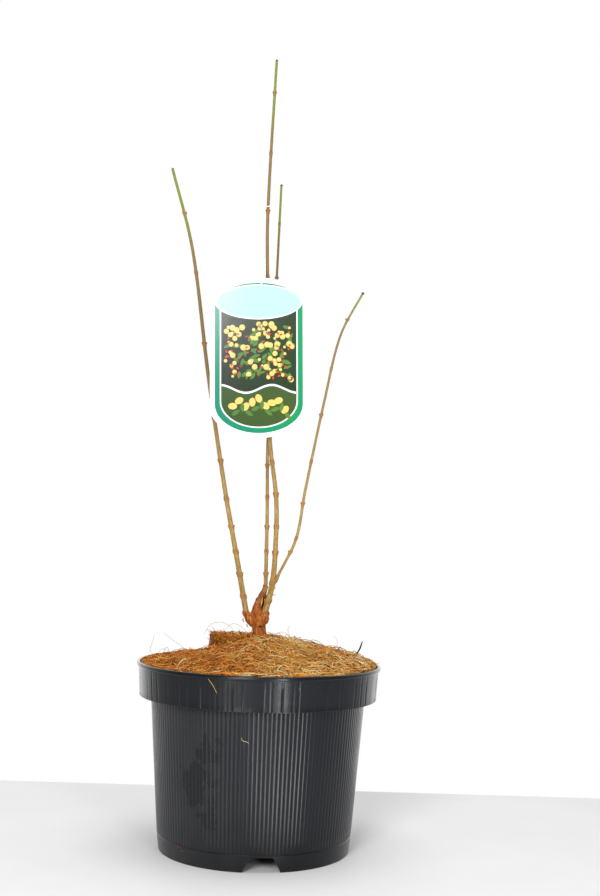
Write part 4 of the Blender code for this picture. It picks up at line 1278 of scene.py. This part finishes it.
finish_plates(berries, "printed_berries", printed("berry_gold", (0.78, 0.50, 0.16), (0.82, 0.54, 0.12)))
finish_plates(lights, "berry_lights", printed("berry_light", (0.86, 0.74, 0.36)))
finish_plates(reds, "printed_seeds", printed("seed_red", (0.50, 0.06, 0.03)))


# Thread: two-ply white cotton. A loop runs through the card's hole to a knot beside the tall stem, a ring
# holds it just above a node, and the knot has two loose ends.
THREAD_RADIUS = 0.4
KNOT = Vector((-8.0, -10.6, 483.0))
KNOT_RADIUS = 1.0
RING_HEIGHT = 490.0
RING_RADIUS = 2.4
RING_TILT = 0.45
RING_STEPS = 12
KNOT_STEPS = 14
TWIST_LENGTH = 1.5
LONG_END = ((-3.5, -1.0, 0.6), (-7.5, -1.6, -0.8), (-11.0, -1.8, -1.0))
HANGING_END = ((-4.5, -0.6, -0.6), (-7.4, -0.8, -3.6), (-7.9, -0.9, -11.0))


def plied(points, steps):
    """Two thin plies twisted round a route, as mesh tubes."""
    route = through([tuple(point) for point in points], steps)
    tangent = np.gradient(route, axis=0)
    tangent /= np.linalg.norm(tangent, axis=1, keepdims=True)
    side = np.cross(tangent, np.array((0.2, 0.9, 0.35)))
    side /= np.linalg.norm(side, axis=1, keepdims=True)
    other = np.cross(tangent, side)
    run = np.concatenate(((0.0,), np.cumsum(np.linalg.norm(np.diff(route, axis=0), axis=1))))
    plies = []
    for phase in (0.0, math.pi):
        turn = (run / TWIST_LENGTH * math.tau + phase)[:, None]
        ply = route + (side * np.cos(turn) + other * np.sin(turn)) * THREAD_RADIUS * 0.5
        plies.append(tube("ply", [(*row, THREAD_RADIUS * 0.56) for row in ply.tolist()], 8))
    return plies


hole = card_place @ Vector((CARD_HOLE[0], 0.0, CARD_HOLE[1]))
rim = hole + Vector((0.0, 0.0, CARD_HOLE_RADIUS - THREAD_RADIUS))
edge = hole + Vector((0.0, 0.0, CARD_HALF_HEIGHT - CARD_HOLE[1]))
away = Vector((0.0, half_thick + THREAD_RADIUS + 0.1, 0.0))
wide = Vector((2.6, 0.0, 0.0))
plies = plied((KNOT, KNOT.lerp(edge - away - wide, 0.5) + Vector((-0.3, 0, 0)), edge - away - wide,
               rim - away, rim, rim + away, edge + away + wide,
               KNOT.lerp(edge + away + wide, 0.5) + Vector((0.3, 0, 0)), KNOT), 330)
ring_centre = route_place(STEM_ROUTES["tall"], RING_HEIGHT)
ring = [KNOT]
for i in range(RING_STEPS + 1):
    angle = math.radians(-114.0 + 300.0 * i / RING_STEPS)
    out = Vector((math.cos(angle), math.sin(angle), RING_TILT * math.cos(angle - math.radians(36.0))))
    ring.append(ring_centre + out * RING_RADIUS)
ring.append(KNOT)
plies += plied(ring, 110)
for loose in (LONG_END, HANGING_END):
    plies += plied([KNOT] + [KNOT + Vector(step) for step in loose], 50)
for turn in (0.2, 1.3, 2.4):
    loop = []
    for i in range(KNOT_STEPS + 1):
        angle = math.tau * i / KNOT_STEPS
        out = Vector((math.cos(angle), math.sin(angle) * 0.8, 0.35 * math.sin(2 * angle)))
        out = Matrix.Rotation(turn, 3, "Y") @ out
        loop.append(tuple(KNOT + out * KNOT_RADIUS * 0.75))
    plies.append(tube("knot_turn", [(*spot, 0.32) for spot in through(loop, 30).tolist()], 8))
thread = join(plies, "label_cord")
smooth(thread, 60.0)
thread_look, tree, shader = new_material("white_cotton", (0.84, 0.84, 0.82), 0.8)
bump(tree, shader, 0.5, 0.08, noisy(tree, object_place(tree), 2400.0, 3.0))
thread.data.materials.append(thread_look)
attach(thread, "root")
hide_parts("label_thread")
